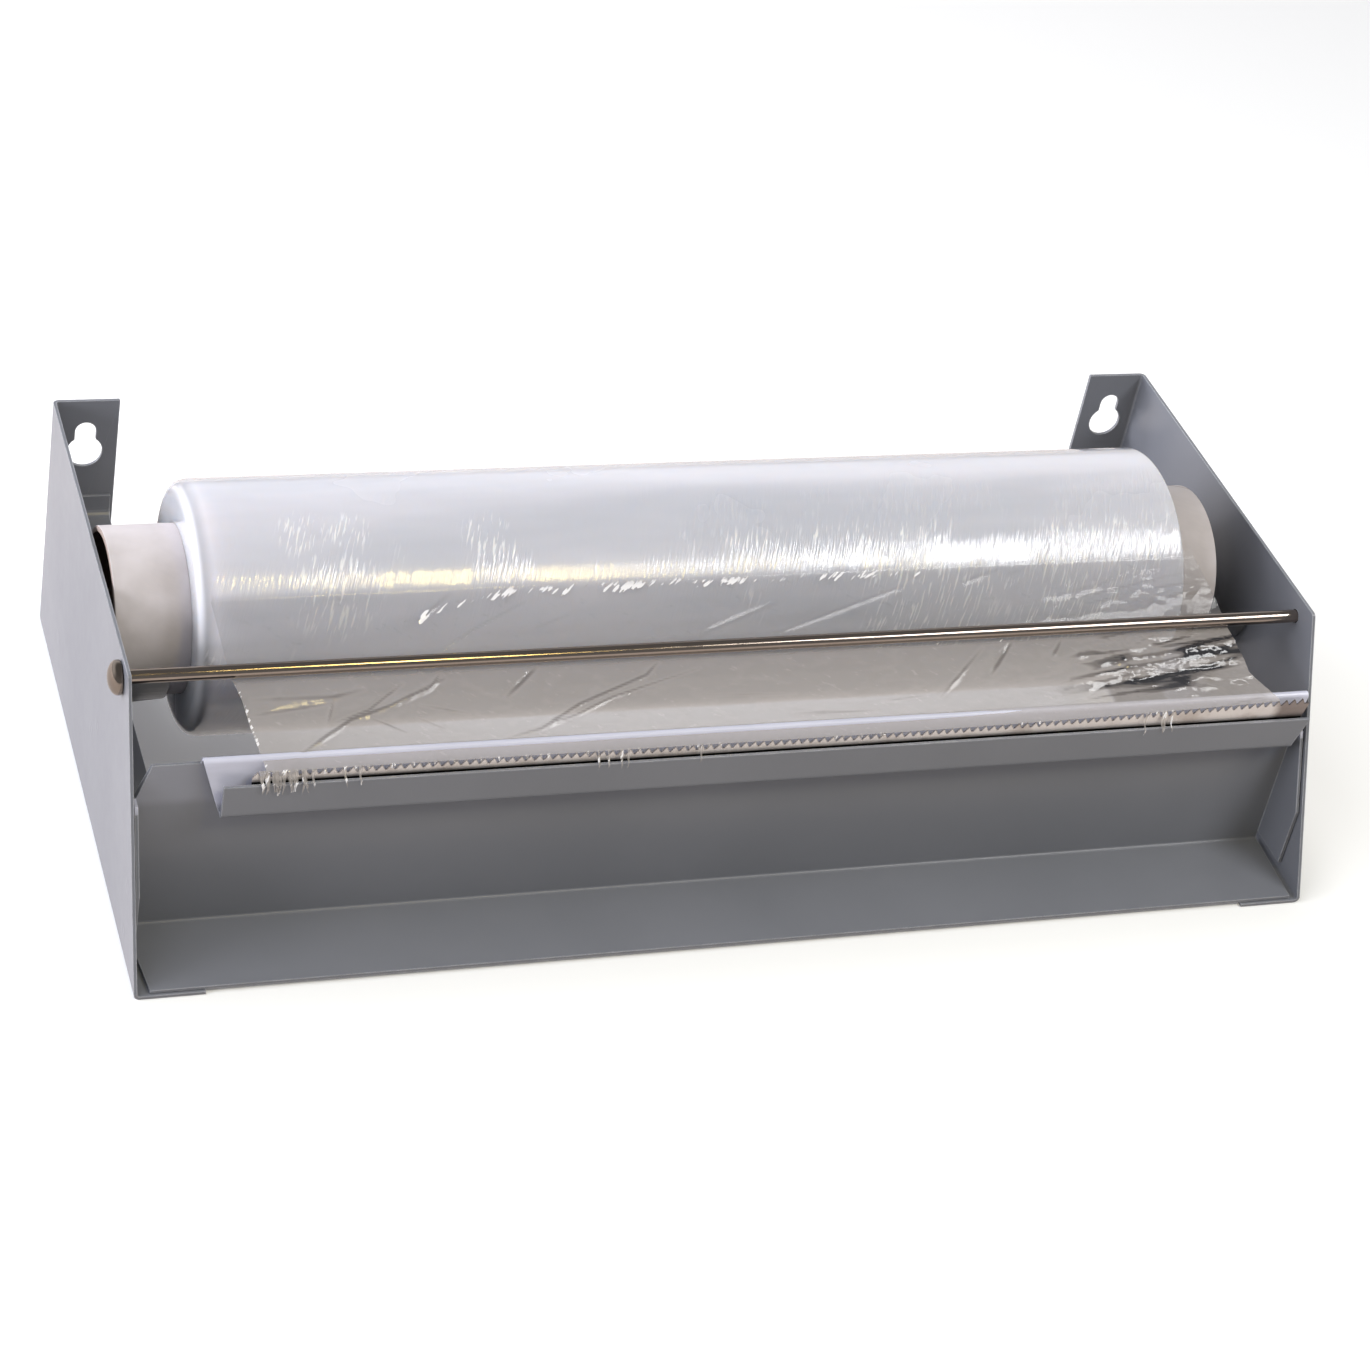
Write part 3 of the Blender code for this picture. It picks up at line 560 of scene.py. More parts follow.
def card_finish():
    """Grey wound card."""
    made, tree, shader = start_finish("wound_card", Roughness=0.78, Specular_IOR_Level=0.3)
    on = round_coordinates(tree, CORE_RADIUS)
    fibres = noise_of(tree, on["flat"], FIBRE_SCALE, 5.0, 0.65, stretch=FIBRE_STRETCH, lean=FIBRE_LEAN)
    clouds = noise_of(tree, on["place"], 28.0, 4.0)
    climb = plus(tree, maths(tree, "DIVIDE", on["along"], PLY_PITCH),
                 maths(tree, "DIVIDE", on["around"], math.tau * CORE_RADIUS))
    phase = maths(tree, "FRACT", plus(tree, climb, PLY_START))
    from_joint = maths(tree, "ABSOLUTE", minus(tree, phase, 0.5))
    line = minus(tree, 1.0, between(tree, from_joint, 0.0, PLY_LINE))
    step = between(tree, phase, 0.5, 0.52)
    end = end_share(tree, 0.6, 0.9)
    inside = minus(tree, 1.0, between(tree, on["away"], CORE_BORE + 0.0002, CORE_BORE + 0.0006))
    tone = blend_colours(tree, between(tree, clouds, 0.35, 0.7), CARD, CARD_SHADE)
    for mask, share, colour in ((fibres, 0.35, CARD_FIBRE), (line, 0.5, CARD_CUT), (end, 0.75, CARD_CUT),
                                (inside, 0.7, CARD_CUT)):
        tone = blend_colours(tree, times(tree, mask, share), tone, colour)
    normal = bump_of(tree, fibres, 0.00008, 0.35)
    normal = bump_of(tree, minus(tree, step, line), 0.00025, 0.7, normal)
    drive(tree, shader, Base_Color=tone, Normal=normal)
    return made


def tube(left, right, outer, bore, left_round, right_round, steps=4):
    """Closed profile of a tube with a rounded shoulder at each end."""
    profile = [(left, bore)]
    profile += rounded((left, outer), (left, bore), (right, outer), left_round, steps)
    profile += rounded((right, outer), (left, outer), (right, bore), right_round, steps)
    profile += [(right, bore), (left, bore)]
    return profile


core_profile = tube(CORE_LEFT, CORE_RIGHT, CORE_RADIUS, CORE_BORE, CORE_ROUND, CORE_ROUND)
spun("paper_core", core_profile, REEL_AXIS, CORE_STEPS, card_finish(), "film_reel", "core_tube")

# %% [markdown]
# ## The wound film
#
# Hundreds of turns of clear film make a milky lavender drum with a mirror-like skin. The last turn lies on it
# with very fine wrinkles that run nearly round the drum and lean a little, and each wrinkle tears the
# highlights into short bright hairs. Noise stretched round the drum does this: a fine and even bump, a stronger
# bump in patches, and in the same patches thin white hairs painted into the colour as highlights. A few
# scuffed patches at the left have their own places, and the top of the drum behind the crest stays smooth.
# The turns wander a little, so the left shoulder is round and the right one crisp. The ends show them as close
# rings.

# %% Wound film
ROLL_RADIUS = 0.0552
ROLL_LEFT = -0.2340
ROLL_RIGHT = 0.2198
ROLL_BORE = 0.0368
ROLL_STEPS = 192
LEFT_SHOULDER = 0.0078
RIGHT_SHOULDER = 0.0019
FILM_MILK = (0.76, 0.76, 0.83)
FILM_GREY = (0.58, 0.60, 0.67)
SHOULDER_SHADE_GREY = (0.30, 0.31, 0.34)
RING_DARK = (0.62, 0.64, 0.70)
RING_PALE = (0.80, 0.81, 0.86)
RING_SCALE = 2600.0
HAIR_GLINT_WHITE = (0.97, 0.97, 1.0)
HAIR_LEAN = 0.30
HAIR_STRETCH = (1.0, 0.10, 1.0)
HAIR_SCALE = 700.0
STRAND_SCALE = 900.0
HAIR_PATCHES = [(-0.188, -0.020, 0.014), (-0.168, -0.020, 0.012), (-0.176, -0.048, 0.024),
                (-0.108, -0.024, 0.014), (-0.104, -0.038, 0.016)]
HAIRS_FROM = -0.024
QUIET_AROUND = 0.030


def patch_share(tree, flat):
    """1 in the patches (along, round, radius) where the last turn of film is scuffed."""
    share = 0.0
    for x, around, radius in HAIR_PATCHES:
        away = vector_maths(tree, "DISTANCE", flat, (x, around, 0.0))
        share = maths(tree, "MAXIMUM", share, between(tree, away, 0.5 * radius, 1.1 * radius, 1.0, 0.0))
    return share


def wound_film_finish():
    """Milky drum of clear film with a glossy, finely wrinkled skin."""
    made, tree, shader = start_finish("wound_clear_film", Specular_IOR_Level=0.6, Coat_Weight=1.0,
                                      Coat_Roughness=0.05, Subsurface_Weight=0.9, Subsurface_Scale=0.022,
                                      Subsurface_Radius=(1.0, 0.86, 0.76))
    on = round_coordinates(tree, ROLL_RADIUS)
    flat, around = on["flat"], on["around"]
    bands = noise_of(tree, flat, 9.0, 4.0, 0.55, stretch=(0.25, 1.6, 1.0))
    patches = noise_of(tree, flat, 16.0)
    waves = noise_of(tree, flat, 45.0, stretch=(1.0, 0.35, 1.0))
    hairs = noise_of(tree, flat, HAIR_SCALE, 3.0, 0.55, stretch=HAIR_STRETCH, lean=HAIR_LEAN)
    strands = noise_of(tree, flat, STRAND_SCALE, 2.0, stretch=HAIR_STRETCH, lean=HAIR_LEAN)
    outwards = put(tree, "ShaderNodeCombineXYZ", {"X": on["away"]}).outputs[0]
    rings = noise_of(tree, outwards, RING_SCALE, 4.0, 0.7)

    end = end_share(tree, 0.5, 0.95)
    side = minus(tree, 1.0, end)
    quiet = between(tree, maths(tree, "ABSOLUTE", minus(tree, around, QUIET_AROUND)), 0.020, 0.045)
    spread = between(tree, on["along"], -0.04, 0.12, -0.06, 0.08)
    scuffed = patch_share(tree, flat)
    torn = maths(tree, "MAXIMUM", between(tree, plus(tree, patches, spread), 0.50, 0.62), scuffed)
    torn = times(tree, torn, quiet, side)
    calm = times(tree, side, quiet)
    low_down = between(tree, around, HAIRS_FROM - 0.008, HAIRS_FROM, 1.0, 0.15)
    low_down = maths(tree, "MAXIMUM", scuffed, low_down)
    # Painted highlights: thin white hairs in the torn patches, mostly low on the drum.
    hair_glint = times(tree, between(tree, strands, 0.54, 0.64), times(tree, torn, low_down))

    tone = blend_colours(tree, between(tree, bands, 0.35, 0.68), FILM_MILK, FILM_GREY)
    # Painted shade: the round left shoulder is greyed, which tones down its bright rim.
    shoulder = between(tree, on["along"], ROLL_LEFT + 0.002, ROLL_LEFT + LEFT_SHOULDER, 0.8, 0.0)
    tone = blend_colours(tree, shoulder, tone, SHOULDER_SHADE_GREY)
    tone = blend_colours(tree, end, tone, blend_colours(tree, rings, RING_DARK, RING_PALE))
    tone = blend_colours(tree, times(tree, hair_glint, 0.85), tone, HAIR_GLINT_WHITE)
    normal = None
    for height, mask, distance, strength in ((waves, calm, 0.0014, 0.18), (hairs, calm, 0.00022, 0.6),
                                             (strands, torn, 0.0006, 0.7), (rings, end, 0.0001, 0.5)):
        normal = bump_of(tree, times(tree, height, mask), distance, strength, normal)
    drive(tree, shader, Base_Color=tone, Roughness=between(tree, patches, 0.35, 0.7, 0.14, 0.30),
          Normal=normal, Coat_Normal=normal)
    return made


roll_profile = tube(ROLL_LEFT, ROLL_RIGHT, ROLL_RADIUS, ROLL_BORE, LEFT_SHOULDER, RIGHT_SHOULDER, 8)
spun("wound_film", roll_profile, REEL_AXIS, ROLL_STEPS, wound_film_finish(), "film_reel", "film_roll")

# %% [markdown]
# ## The way of the loose film
#
# The loose film leaves the drum, dips under the rod and ends on the teeth of the blade. In section that is a
# belt round two wheels that turn opposite ways. A straight run that touches both wheels has its angle from an
# arcsine. Cling film holds on to its drum, so it peels off a little later than a belt would, in a line of small
# crinkles. The distance s along the film is counted so that the rod is at ROD_S, in millimetres.

# %% Way of the loose film
FILM_OFF_ROLL = 0.00018
FILM_OFF_ROD = 0.0003
FILM_OFF_TEETH = 0.0002
TEETH_Y = -0.0942
ROLL_WHEEL = (REEL_AXIS.y, REEL_AXIS.z, ROLL_RADIUS + FILM_OFF_ROLL, 1)
ROD_WHEEL = (ROD_AXIS.y, ROD_AXIS.z, ROD_RADIUS + FILM_OFF_ROD, -1)
TEETH = (TEETH_Y, TIP_Z + FILM_OFF_TEETH, 0.0, 1)
WRAP = math.radians(20.0)
CLING = math.radians(12.0)
ROD_S = 46.0
WAY_STEP = 0.00085


def run_angle(start, end):
    """Angle of the straight run between two wheels (y, z, radius, sense)."""
    run = Vector((end[0] - start[0], end[1] - start[1]))
    swing = math.asin((end[3] * end[2] - start[3] * start[2]) / run.length)
    return math.atan2(run.y, run.x) - swing


def touch(wheel, angle):
    """Where a run in the direction of angle touches a wheel."""
    y, z, radius, sense = wheel
    return Vector((y + sense * radius * math.sin(angle), z - sense * radius * math.cos(angle)))


def film_way(step):
    """Points (s, y, z) every step along the film and the s where it peels off the drum, all in metres."""
    peel = run_angle(ROLL_WHEEL, ROD_WHEEL) + CLING
    leave = touch(ROLL_WHEEL, peel)
    first = run_angle((leave.x, leave.y, 0.0, 1), ROD_WHEEL)
    last = run_angle(ROD_WHEEL, TEETH)
    last += math.tau * round((first - last) / math.tau)
    reach, let_go = touch(ROD_WHEEL, first), touch(ROD_WHEEL, last)
    teeth = Vector(TEETH[:2])
    run_in = (reach - leave).length
    bend = abs(last - first) * ROD_WHEEL[2]
    run_out = (teeth - let_go).length
    rod_s = ROD_S / 1000.0
    peel_s = rod_s - run_in
    points = []
    for i in range(round(WRAP * ROLL_WHEEL[2] / step), 0, -1):
        points.append((peel_s - i * step, *touch(ROLL_WHEEL, peel - i * step / ROLL_WHEEL[2])))
    for i in range(round(run_in / step)):
        points.append((peel_s + i * step, *leave.lerp(reach, i * step / run_in)))
    for i in range(3):
        points.append((rod_s + bend * i / 2, *touch(ROD_WHEEL, first + (last - first) * i / 2)))
    count = round(run_out / step)
    for i in range(1, count + 1):
        points.append((rod_s + bend + run_out * i / count, *let_go.lerp(teeth, i / count)))
    return points, peel_s


way, peel_s = film_way(WAY_STEP)
PEEL_S = peel_s * 1000.0
print("free film from the drum to the teeth:", round(way[-1][0] * 1000 - PEEL_S, 1), "mm")

# %% [markdown]
# ## Creases of the loose film
#
# Thin film under light tension is almost flat, but long creases run across it where it was pulled askew, and it
# is crumpled at the right, where it spreads. Each crease is a short line of points (across, along) in
# millimetres on the flat film, with a width and a height. The height of the film at a point is the sum of its
# creases and of noise that grows towards the crumpled places.

# %% Creases
CREASE_REACH = 3.0
CREST_FALL = 1.6
SHARP_FALL = 2.2
CRUMPLE_SCALES = (0.045, 0.11, 0.26)
CRUMPLE_HEIGHT = 0.55
CREASES = [
    (2.0, 1.1, [(-134.9, 53.5), (-159.5, 64.3), (-177.4, 69.7), (-190.6, 77.6), (-207.3, 88.0)]),
    (1.6, -0.8, [(-152.6, 54.2), (-169.1, 65.5), (-184.4, 70.6)]),
    (1.4, 0.8, [(-135.5, 49.7), (-142.1, 57.8), (-158.2, 63.9)]),
    (1.8, 0.9, [(-39.8, 50.9), (-46.4, 56.8), (-78.2, 68.4), (-96.9, 78.6), (-111.9, 81.8)]),
    (1.5, 0.8, [(-21.6, 54.9), (-63.1, 66.0), (-80.0, 73.0), (-93.7, 77.6)]),
    (2.4, -0.9, [(-93.2, 49.5), (-109.3, 63.1)]),
    (1.6, 0.5, [(-147.4, 64.8), (-127.0, 69.9)]),
    (1.6, 0.6, [(-169.3, 69.3), (-154.5, 77.0)]),
    (1.6, 0.5, [(-149.5, 70.5), (-136.5, 77.0)]),
    (2.6, 0.6, [(-217.4, 58.5), (-183.0, 59.0), (-169.7, 56.5)]),
    (2.2, -0.6, [(-218.6, 65.2), (-183.4, 61.4)]),
    (2.0, 0.6, [(-183.1, 59.8), (-187.4, 71.2)]),
    (2.0, 0.7, [(111.6, 52.7), (86.2, 75.4)]),
    (2.2, -1.0, [(127.2, 49.7), (113.1, 65.6)]),
    (2.0, 0.8, [(150.4, 51.0), (143.8, 59.5)]),
    (1.4, 0.5, [(58.6, 75.6), (80.7, 73.8)]),
    (1.4, 0.4, [(-24.3, 67.4), (19.6, 69.5)]),
    (1.6, 0.6, [(16.2, 78.6), (55.3, 79.6)]),
    (3.0, 1.6, [(165.7, 63.8), (205.0, 60.5), (240.8, 55.3)]),
    (3.0, -1.5, [(162.3, 76.2), (200.0, 71.0), (234.2, 69.3)]),
    (2.4, 1.2, [(150.0, 70.5), (190.0, 66.0), (222.0, 62.5)]),
    (1.2, 0.5, [(-95.4, 21.2), (-119.7, 32.3), (-134.0, 40.3)]),
    (1.2, 0.3, [(-76.6, 27.9), (-91.9, 32.8)]),
    (1.6, 0.8, [(-142.7, 27.2), (-133.6, 20.4), (-126.8, 15.4)]),
    (1.4, 0.7, [(-103.6, 20.8), (-99.3, 11.7)]),
    (1.4, 0.7, [(-78.5, 19.4), (-70.1, 13.0)]),
    (1.3, 0.6, [(-45.5, 18.7), (-36.3, 13.3)]),
    (1.8, 0.8, [(107.5, 21.5), (132.1, 14.3)]),
    (1.8, 0.8, [(131.4, 18.5), (152.6, 12.2)]),
    (1.3, 0.5, [(15.2, 40.8), (53.8, 29.5), (79.2, 22.0)]),
    (2.0, -0.5, [(-18.7, 39.6), (18.5, 26.6)]),
]


def past_segment(point, start, end):
    """Distance of a point from a segment and how far along it lies, from 0 to 1."""
    run = (end[0] - start[0], end[1] - start[1])
    length = run[0] * run[0] + run[1] * run[1]
    t = ((point[0] - start[0]) * run[0] + (point[1] - start[1]) * run[1]) / length
    t = min(1.0, max(0.0, t))
    return math.hypot(point[0] - start[0] - t * run[0], point[1] - start[1] - t * run[1]), t


def fade(value, low, high):
    """Smooth step from 0 at low to 1 at high."""
    t = min(1.0, max(0.0, (value - low) / (high - low)))
    return t * t * (3.0 - 2.0 * t)


def crease_height(x, s):
    """Height and sharpness from the drawn creases, in millimetres and from 0 to 1."""
    height, sharp = 0.0, 0.0
    for width, rise, line in CREASES:
        reach = CREASE_REACH * width
        across = [point[0] for point in line]
        if not min(across) - reach < x < max(across) + reach:
            continue
        near, along = math.inf, 0.0
        for i, (start, end) in enumerate(zip(line, line[1:])):
            off, t = past_segment((x, s), start, end)
            if off < near:
                near, along = off, (i + t) / (len(line) - 1)
        if near > reach:
            continue
        ends = 0.35 + 0.65 * math.sin(math.pi * (0.04 + 0.92 * along))
        height += rise * math.exp(-near / width * CREST_FALL) * ends
        sharp = max(sharp, math.exp(-(near / width * SHARP_FALL) ** 2) * ends * min(1.0, abs(rise)))
    return height, sharp


def crumple(x, s):
    """Height of the random crumpling, strong at the right, and how dark its folds there are painted as shade.
    """
    right = fade(x, 120.0, 205.0) * fade(s, 18.0, 50.0)
    left = 1.0 - fade(x, -231.0, -221.0)
    strength = 0.10 + 1.05 * right + 0.9 * left * fade(s, 30.0, 50.0) + 0.16 * fade(s, 46.0, 60.0)
    streak = noise.noise(Vector((x * 0.018 + s * 0.02, s * 0.24 + x * 0.03, 3.1)))
    broken = fade(noise.noise(Vector((x * 0.03, s * 0.12, 9.4))), -0.15, 0.2)
    folds = right * broken * (1.0 - fade(abs(streak), 0.04, 0.26))
    height, size = 0.0, 1.0
    for scale in CRUMPLE_SCALES:
        ridge = noise.noise(Vector((x * scale, s * scale * 2.4, 7.3 * scale)))
        height += size * (1.0 - 2.6 * abs(ridge))
        size *= 0.5
    return strength * height * CRUMPLE_HEIGHT, 0.35 * strength * max(0.0, height - 0.9) + 0.8 * folds


print(len(CREASES), "creases drawn")

# %% [markdown]
# ## The loose film
#
# A grid is laid along the way, one row for each point, and its edges drift to the right as in life.
# Then every vertex moves along the film's own normal by its height. The height fades out where the film lies on
# the drum, under the rod and on the teeth, so it touches them and never cuts in. The film sinks with the drum's
# round left shoulder, and rises with the bowed blade at the right.
# Three attributes go to the finish: how sharp each crease is, where crinkles get painted white glints, and how
# much of it shows, since the last turn on the drum can't be told from the rest and may not end in a visible
# line.
# The film is nearly invisible where it is flat. Each cause that makes it show adds its share to the veil.

# %% Loose film
LEFT_EDGE = [(-30.0, -231.3), (0.0, -231.3), (46.0, -225.2), (58.0, -221.4), (70.0, -219.6), (89.0, -215.6)]
RIGHT_EDGE = [(-30.0, 218.7), (0.0, 218.7), (20.0, 226.5), (39.0, 232.5), (66.0, 237.2), (75.0, 238.4),
              (89.0, 249.0)]
ACROSS_STEPS = 600
FILM_LAYERS = ("crease", "crinkle_glint", "shown")
CLEAR_TONE = (0.66, 0.62, 0.60)
SHADED_TONE = (0.27, 0.27, 0.29)
CREASE_SHADE_TONE = (0.22, 0.20, 0.19)
FOLD_SHADE_TONE = (0.03, 0.03, 0.035)
CRINKLE_GLINT_TONE = (0.96, 0.96, 1.0)
CRINKLE_GLINT_WIDTH = 3.8
CRINKLE_GLINT_MOST = 1.1
SLASH_SCALE = 700.0
SLASH_STRETCH = (1.0, 0.13, 0.13)
SLASH_LEAN = 0.95
VEIL_FLAT = 0.25
VEIL_PAST_ROD = 0.12
VEIL_FACING = 0.20
VEIL_CREASE = 0.60
VEIL_GLINT = 0.08
VEIL_WHITE = 0.85
VEIL_MOST = 0.95


def along_edge(edge, s):
    """Place of an edge of the film at s, from a few measured points."""
    for (s0, x0), (s1, x1) in zip(edge, edge[1:]):
        if s <= s1:
            return x0 + (x1 - x0) * (s - s0) / (s1 - s0)
    return edge[-1][1]


def shoulder_sink(x):
    """How far the drum's round left shoulder lies under its full radius at x, in metres."""
    past = ROLL_LEFT + LEFT_SHOULDER - x
    if past <= 0.0:
        return 0.0
    return LEFT_SHOULDER - math.sqrt(max(0.0, LEFT_SHOULDER ** 2 - past ** 2))


def crinkle_glint_share(x, s, left):
    """1 where crinkles get painted white glints: where the film leaves the drum and along its free left edge.
    """
    start = PEEL_S + 1.5 + 10.0 * fade(-x, 95.0, 150.0)
    leaving = math.exp(-((s - start) / CRINKLE_GLINT_WIDTH) ** 2) * fade(x, -165.0, -140.0)
    leaving *= 1.0 - 0.6 * fade(x, 60.0, 110.0)
    edge = (1.0 - fade(x - left, 0.6, 2.6)) * fade(s, 49.0, 52.0)
    by_rod = 0.6 * math.exp(-((s - ROD_S - 3.5) / 1.6) ** 2) * fade(x, -60.0, 120.0)
    return min(CRINKLE_GLINT_MOST, CRINKLE_GLINT_MOST * leaving + edge + by_rod)


def film_normals(points):
    """The film's normal in section at each point. The film runs to the front, so this one points up."""
    normals = []
    for i in range(len(points)):
        before, after = points[max(0, i - 1)], points[min(len(points) - 1, i + 1)]
        run = Vector((after[1] - before[1], after[2] - before[2])).normalized()
        normals.append(Vector((run.y, -run.x)))
    return normals


def film_finish():
    """Clear film: almost invisible where it is flat, painted grey as shade and glinting along its creases."""
    made, tree, shader = start_finish("clear_film", Specular_IOR_Level=0.5, Coat_Weight=0.35,
                                      Coat_Roughness=0.03)
    place = coordinates(tree)
    crease, crinkle_glint, shown = [put(tree, "ShaderNodeAttribute", attribute_name=name).outputs["Fac"]
                              for name in FILM_LAYERS]
    facing = put(tree, "ShaderNodeLayerWeight", {"Blend": 0.35}).outputs["Facing"]
    fine = noise_of(tree, place, 420.0, 4.0, 0.6, stretch=(0.35, 1.0, 1.0), lean=0.5)
    broad = noise_of(tree, place, 70.0, 4.0, 0.6, stretch=(0.5, 1.0, 1.0), lean=0.7)
    glint = between(tree, fine, 0.60, 0.74)
    slashes = noise_of(tree, place, SLASH_SCALE, 2.0, 0.6, stretch=SLASH_STRETCH, lean=SLASH_LEAN)
    clusters = between(tree, noise_of(tree, place, 60.0, 2.0), 0.35, 0.60, 0.75, 1.05)
    lack = minus(tree, times(tree, crinkle_glint, clusters), 1.0)
    white = between(tree, plus(tree, slashes, times(tree, lack, 0.35)), 0.52, 0.57)
    depth = axes_of(tree, place)["Y"]
    past_rod = between(tree, depth, ROD_AXIS.y - ROD_RADIUS, ROD_AXIS.y + ROD_RADIUS, 1.0, 0.0)

    colour = blend_colours(tree, past_rod, SHADED_TONE, CLEAR_TONE)
    # Painted shade: creases grey, the sharpest folds nearly black.
    colour = blend_colours(tree, between(tree, crease, 0.0, 0.5), colour, CREASE_SHADE_TONE)
    colour = blend_colours(tree, between(tree, crease, 0.5, 0.95), colour, FOLD_SHADE_TONE)
    # Painted highlights: white glints on the crinkles.
    colour = blend_colours(tree, white, colour, CRINKLE_GLINT_TONE)
    veil = VEIL_FLAT
    for cause, share in ((past_rod, VEIL_PAST_ROD), (facing, VEIL_FACING), (crease, VEIL_CREASE),
                         (glint, VEIL_GLINT), (white, VEIL_WHITE)):
        veil = plus(tree, veil, times(tree, cause, share))
    alpha = times(tree, maths(tree, "MINIMUM", veil, VEIL_MOST), shown)
    normal = bump_of(tree, broad, 0.0005, 0.3)
    normal = bump_of(tree, fine, 0.00015, 0.35, normal)
    drive(tree, shader, Base_Color=colour, Roughness=between(tree, broad, 0.3, 0.7, 0.04, 0.14), Alpha=alpha,
          Normal=normal, Coat_Normal=normal)
    return made


clear_film = film_finish()


def film_layers(bm):
    """The vertex attributes that the finish of the clear film reads."""
    return [bm.verts.layers.float.new(name) for name in FILM_LAYERS]


def add_film(name, bm, made):
    """Turn a film bmesh into a smooth piece on the frame."""
    smooth_out(bm)
    piece = piece_from(bm, name)
    wear_finish(piece, made)
    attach(piece, "frame")
    return piece


def loose_film():
    """The free film from the drum to the teeth."""
    rows = len(way) - 1
    normals = film_normals(way)
    end_s = way[-1][0] * 1000.0
    bm = bmesh.new()
    bmesh.ops.create_grid(bm, x_segments=ACROSS_STEPS, y_segments=rows, size=0.5)
    crease, crinkle_glint, shown = film_layers(bm)
    for v in bm.verts:
        row = round((v.co.y + 0.5) * rows)
        s, y, z = way[row]
        s *= 1000.0
        left = along_edge(LEFT_EDGE, s)
        x = left + (along_edge(RIGHT_EDGE, s) - left) * (v.co.x + 0.5)
        drawn, sharp = crease_height(x, s)
        rough, ridge = crumple(x, s)
        free = fade(s, PEEL_S, PEEL_S + 10.0) * fade(abs(s - ROD_S), 1.0, 8.0)
        free *= 1.0 - 0.85 * fade(s, 78.0, 88.0)
        height = (drawn + rough) * free / 1000.0
        height -= shoulder_sink(x / 1000.0) * (1.0 - fade(s, PEEL_S, PEEL_S + 16.0))
        rise = blade_lift(x / 1000.0) * max(0.0, (s - ROD_S) / (end_s - ROD_S))
        v.co = (x / 1000.0, y + normals[row].x * height, z + normals[row].y * height + rise)
        v[crease] = min(1.0, (0.55 * sharp + 1.1 * ridge) * min(1.0, free + 0.15))
        v[crinkle_glint] = crinkle_glint_share(x, s, left)
        v[shown] = fade(s, PEEL_S - 4.0, PEEL_S + 2.0)
    piece = add_film("loose_film", bm, clear_film)
    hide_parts("film_web")
    return piece


film = loose_film()
print("loose film:", len(film.data.polygons), "faces")

# %% [markdown]
# ## Torn fringe on the teeth
#
# Film that was torn off leaves small shreds on the blade, most of them at its left end. Each shred is a tiny
# grid that bends over the teeth and may hang in front of the lip, narrow at its end. Noise gives each one its
# own width, lean and length, always the same.

# %% Torn fringe
LIP_FRONT = -0.0968
OVER_TEETH = [(-0.0928, -0.0003), (-0.0939, 0.0004), (-0.0946, -0.0004)]
LONG_SHRED = 1.5
SHRED_ROWS = 7
SHRED_COLUMNS = 5
CLUSTERS = [(-219.0, -199.0, 15, 5.0), (-199.0, -172.0, 8, 2.4), (-172.0, -90.0, 10, 1.2),
            (-80.0, -52.0, 6, 2.2), (-34.0, -18.0, 5, 1.6), (30.0, 62.0, 5, 1.0), (120.0, 140.0, 3, 0.6),
            (182.0, 196.0, 6, 2.2)]


def shred_way(x, drop):
    """Section of a shred: from behind the teeth over them and, if it is long, down the front of the lip."""
    tip = TIP_Z + blade_lift(x / 1000.0)
    points = [(y, tip + above) for y, above in OVER_TEETH]
    if drop < LONG_SHRED:
        points += [(-0.0948, tip - 0.0004 - 0.0011 * drop * t) for t in (0.2, 0.4, 0.6, 0.8, 1.0)]
    else:
        points += [(-0.0956, LIP_TOP + 0.0018), (LIP_FRONT - 0.0003, LIP_TOP + 0.0007)]
        points += [(LIP_FRONT - 0.0006, LIP_TOP - 0.0010 * drop * t) for t in (0.1, 0.5, 1.0)]
    return points


def torn_fringe():
    """All shreds as one piece."""
    bm = bmesh.new()
    crease, crinkle_glint, shown = film_layers(bm)
    number = 0
    for low, high, count, longest in CLUSTERS:
        for i in range(count):
            number += 1
            pick = [noise.noise(Vector((number * 5.31, k * 9.17, 2.3))) for k in range(3)]
            x = low + (high - low) * (i + 0.5 + 0.9 * pick[0]) / count
            drop = longest * (0.55 + 0.9 * abs(pick[1]))
            line = shred_way(x, drop)
            wide = 0.7 + 0.35 * drop + 0.8 * abs(pick[2])
            grid = bmesh.ops.create_grid(bm, x_segments=SHRED_COLUMNS, y_segments=SHRED_ROWS, size=0.5)
            for v in grid["verts"]:
                across, row = v.co.x, round((v.co.y + 0.5) * SHRED_ROWS)
                y, z = line[row]
                wild = noise.noise(Vector((number * 3.7 + across * 2.2, row * 0.9, 1.7)))
                narrow = max(0.12, 1.0 - 0.85 * row / SHRED_ROWS + 0.5 * wild)
                lean = pick[0] * drop * 0.9 * (row / SHRED_ROWS) ** 2
                v.co = ((x + across * wide * narrow + lean + 0.4 * wild) / 1000.0, y - 0.0003 * abs(wild),
                        z + 0.0005 * wild)
                v[crease] = min(1.0, abs(wild) * 0.7)
                v[crinkle_glint] = 1.0
                v[shown] = 1.0
    print("shreds:", number)
    return add_film("torn_fringe", bm, clear_film)


fringe = torn_fringe()
print("film over the teeth at the right:", round(TIP_Z + blade_lift(RIGHT_EDGE[-1][1] / 1000), 4), "m")

# %% [markdown]
# ## Floor and light
#
# The dispenser stands in a plain studio: a pale floor, a soft key from the upper right front, a small warm lamp
# nearer the middle, and at the left a wide soft panel low at the rear, one high up and a small card. The key
# and the warm lamp are the two bright bands on the drum. The lights at the left reach into the inside of the
# right plate and light only what is matt, so the chrome stays dark. The world is the room: pale walls, brighter
# at the back, under a dark ceiling.
#
# To the camera the floor is white with a light warm shadow, because there its colour gets a share of its own
# light, a smaller one under the dispenser, which paints shade there.
# Light Path tells the rays apart: mirrors see the floor greyer, and what it throws back under the drum is
# warmer.

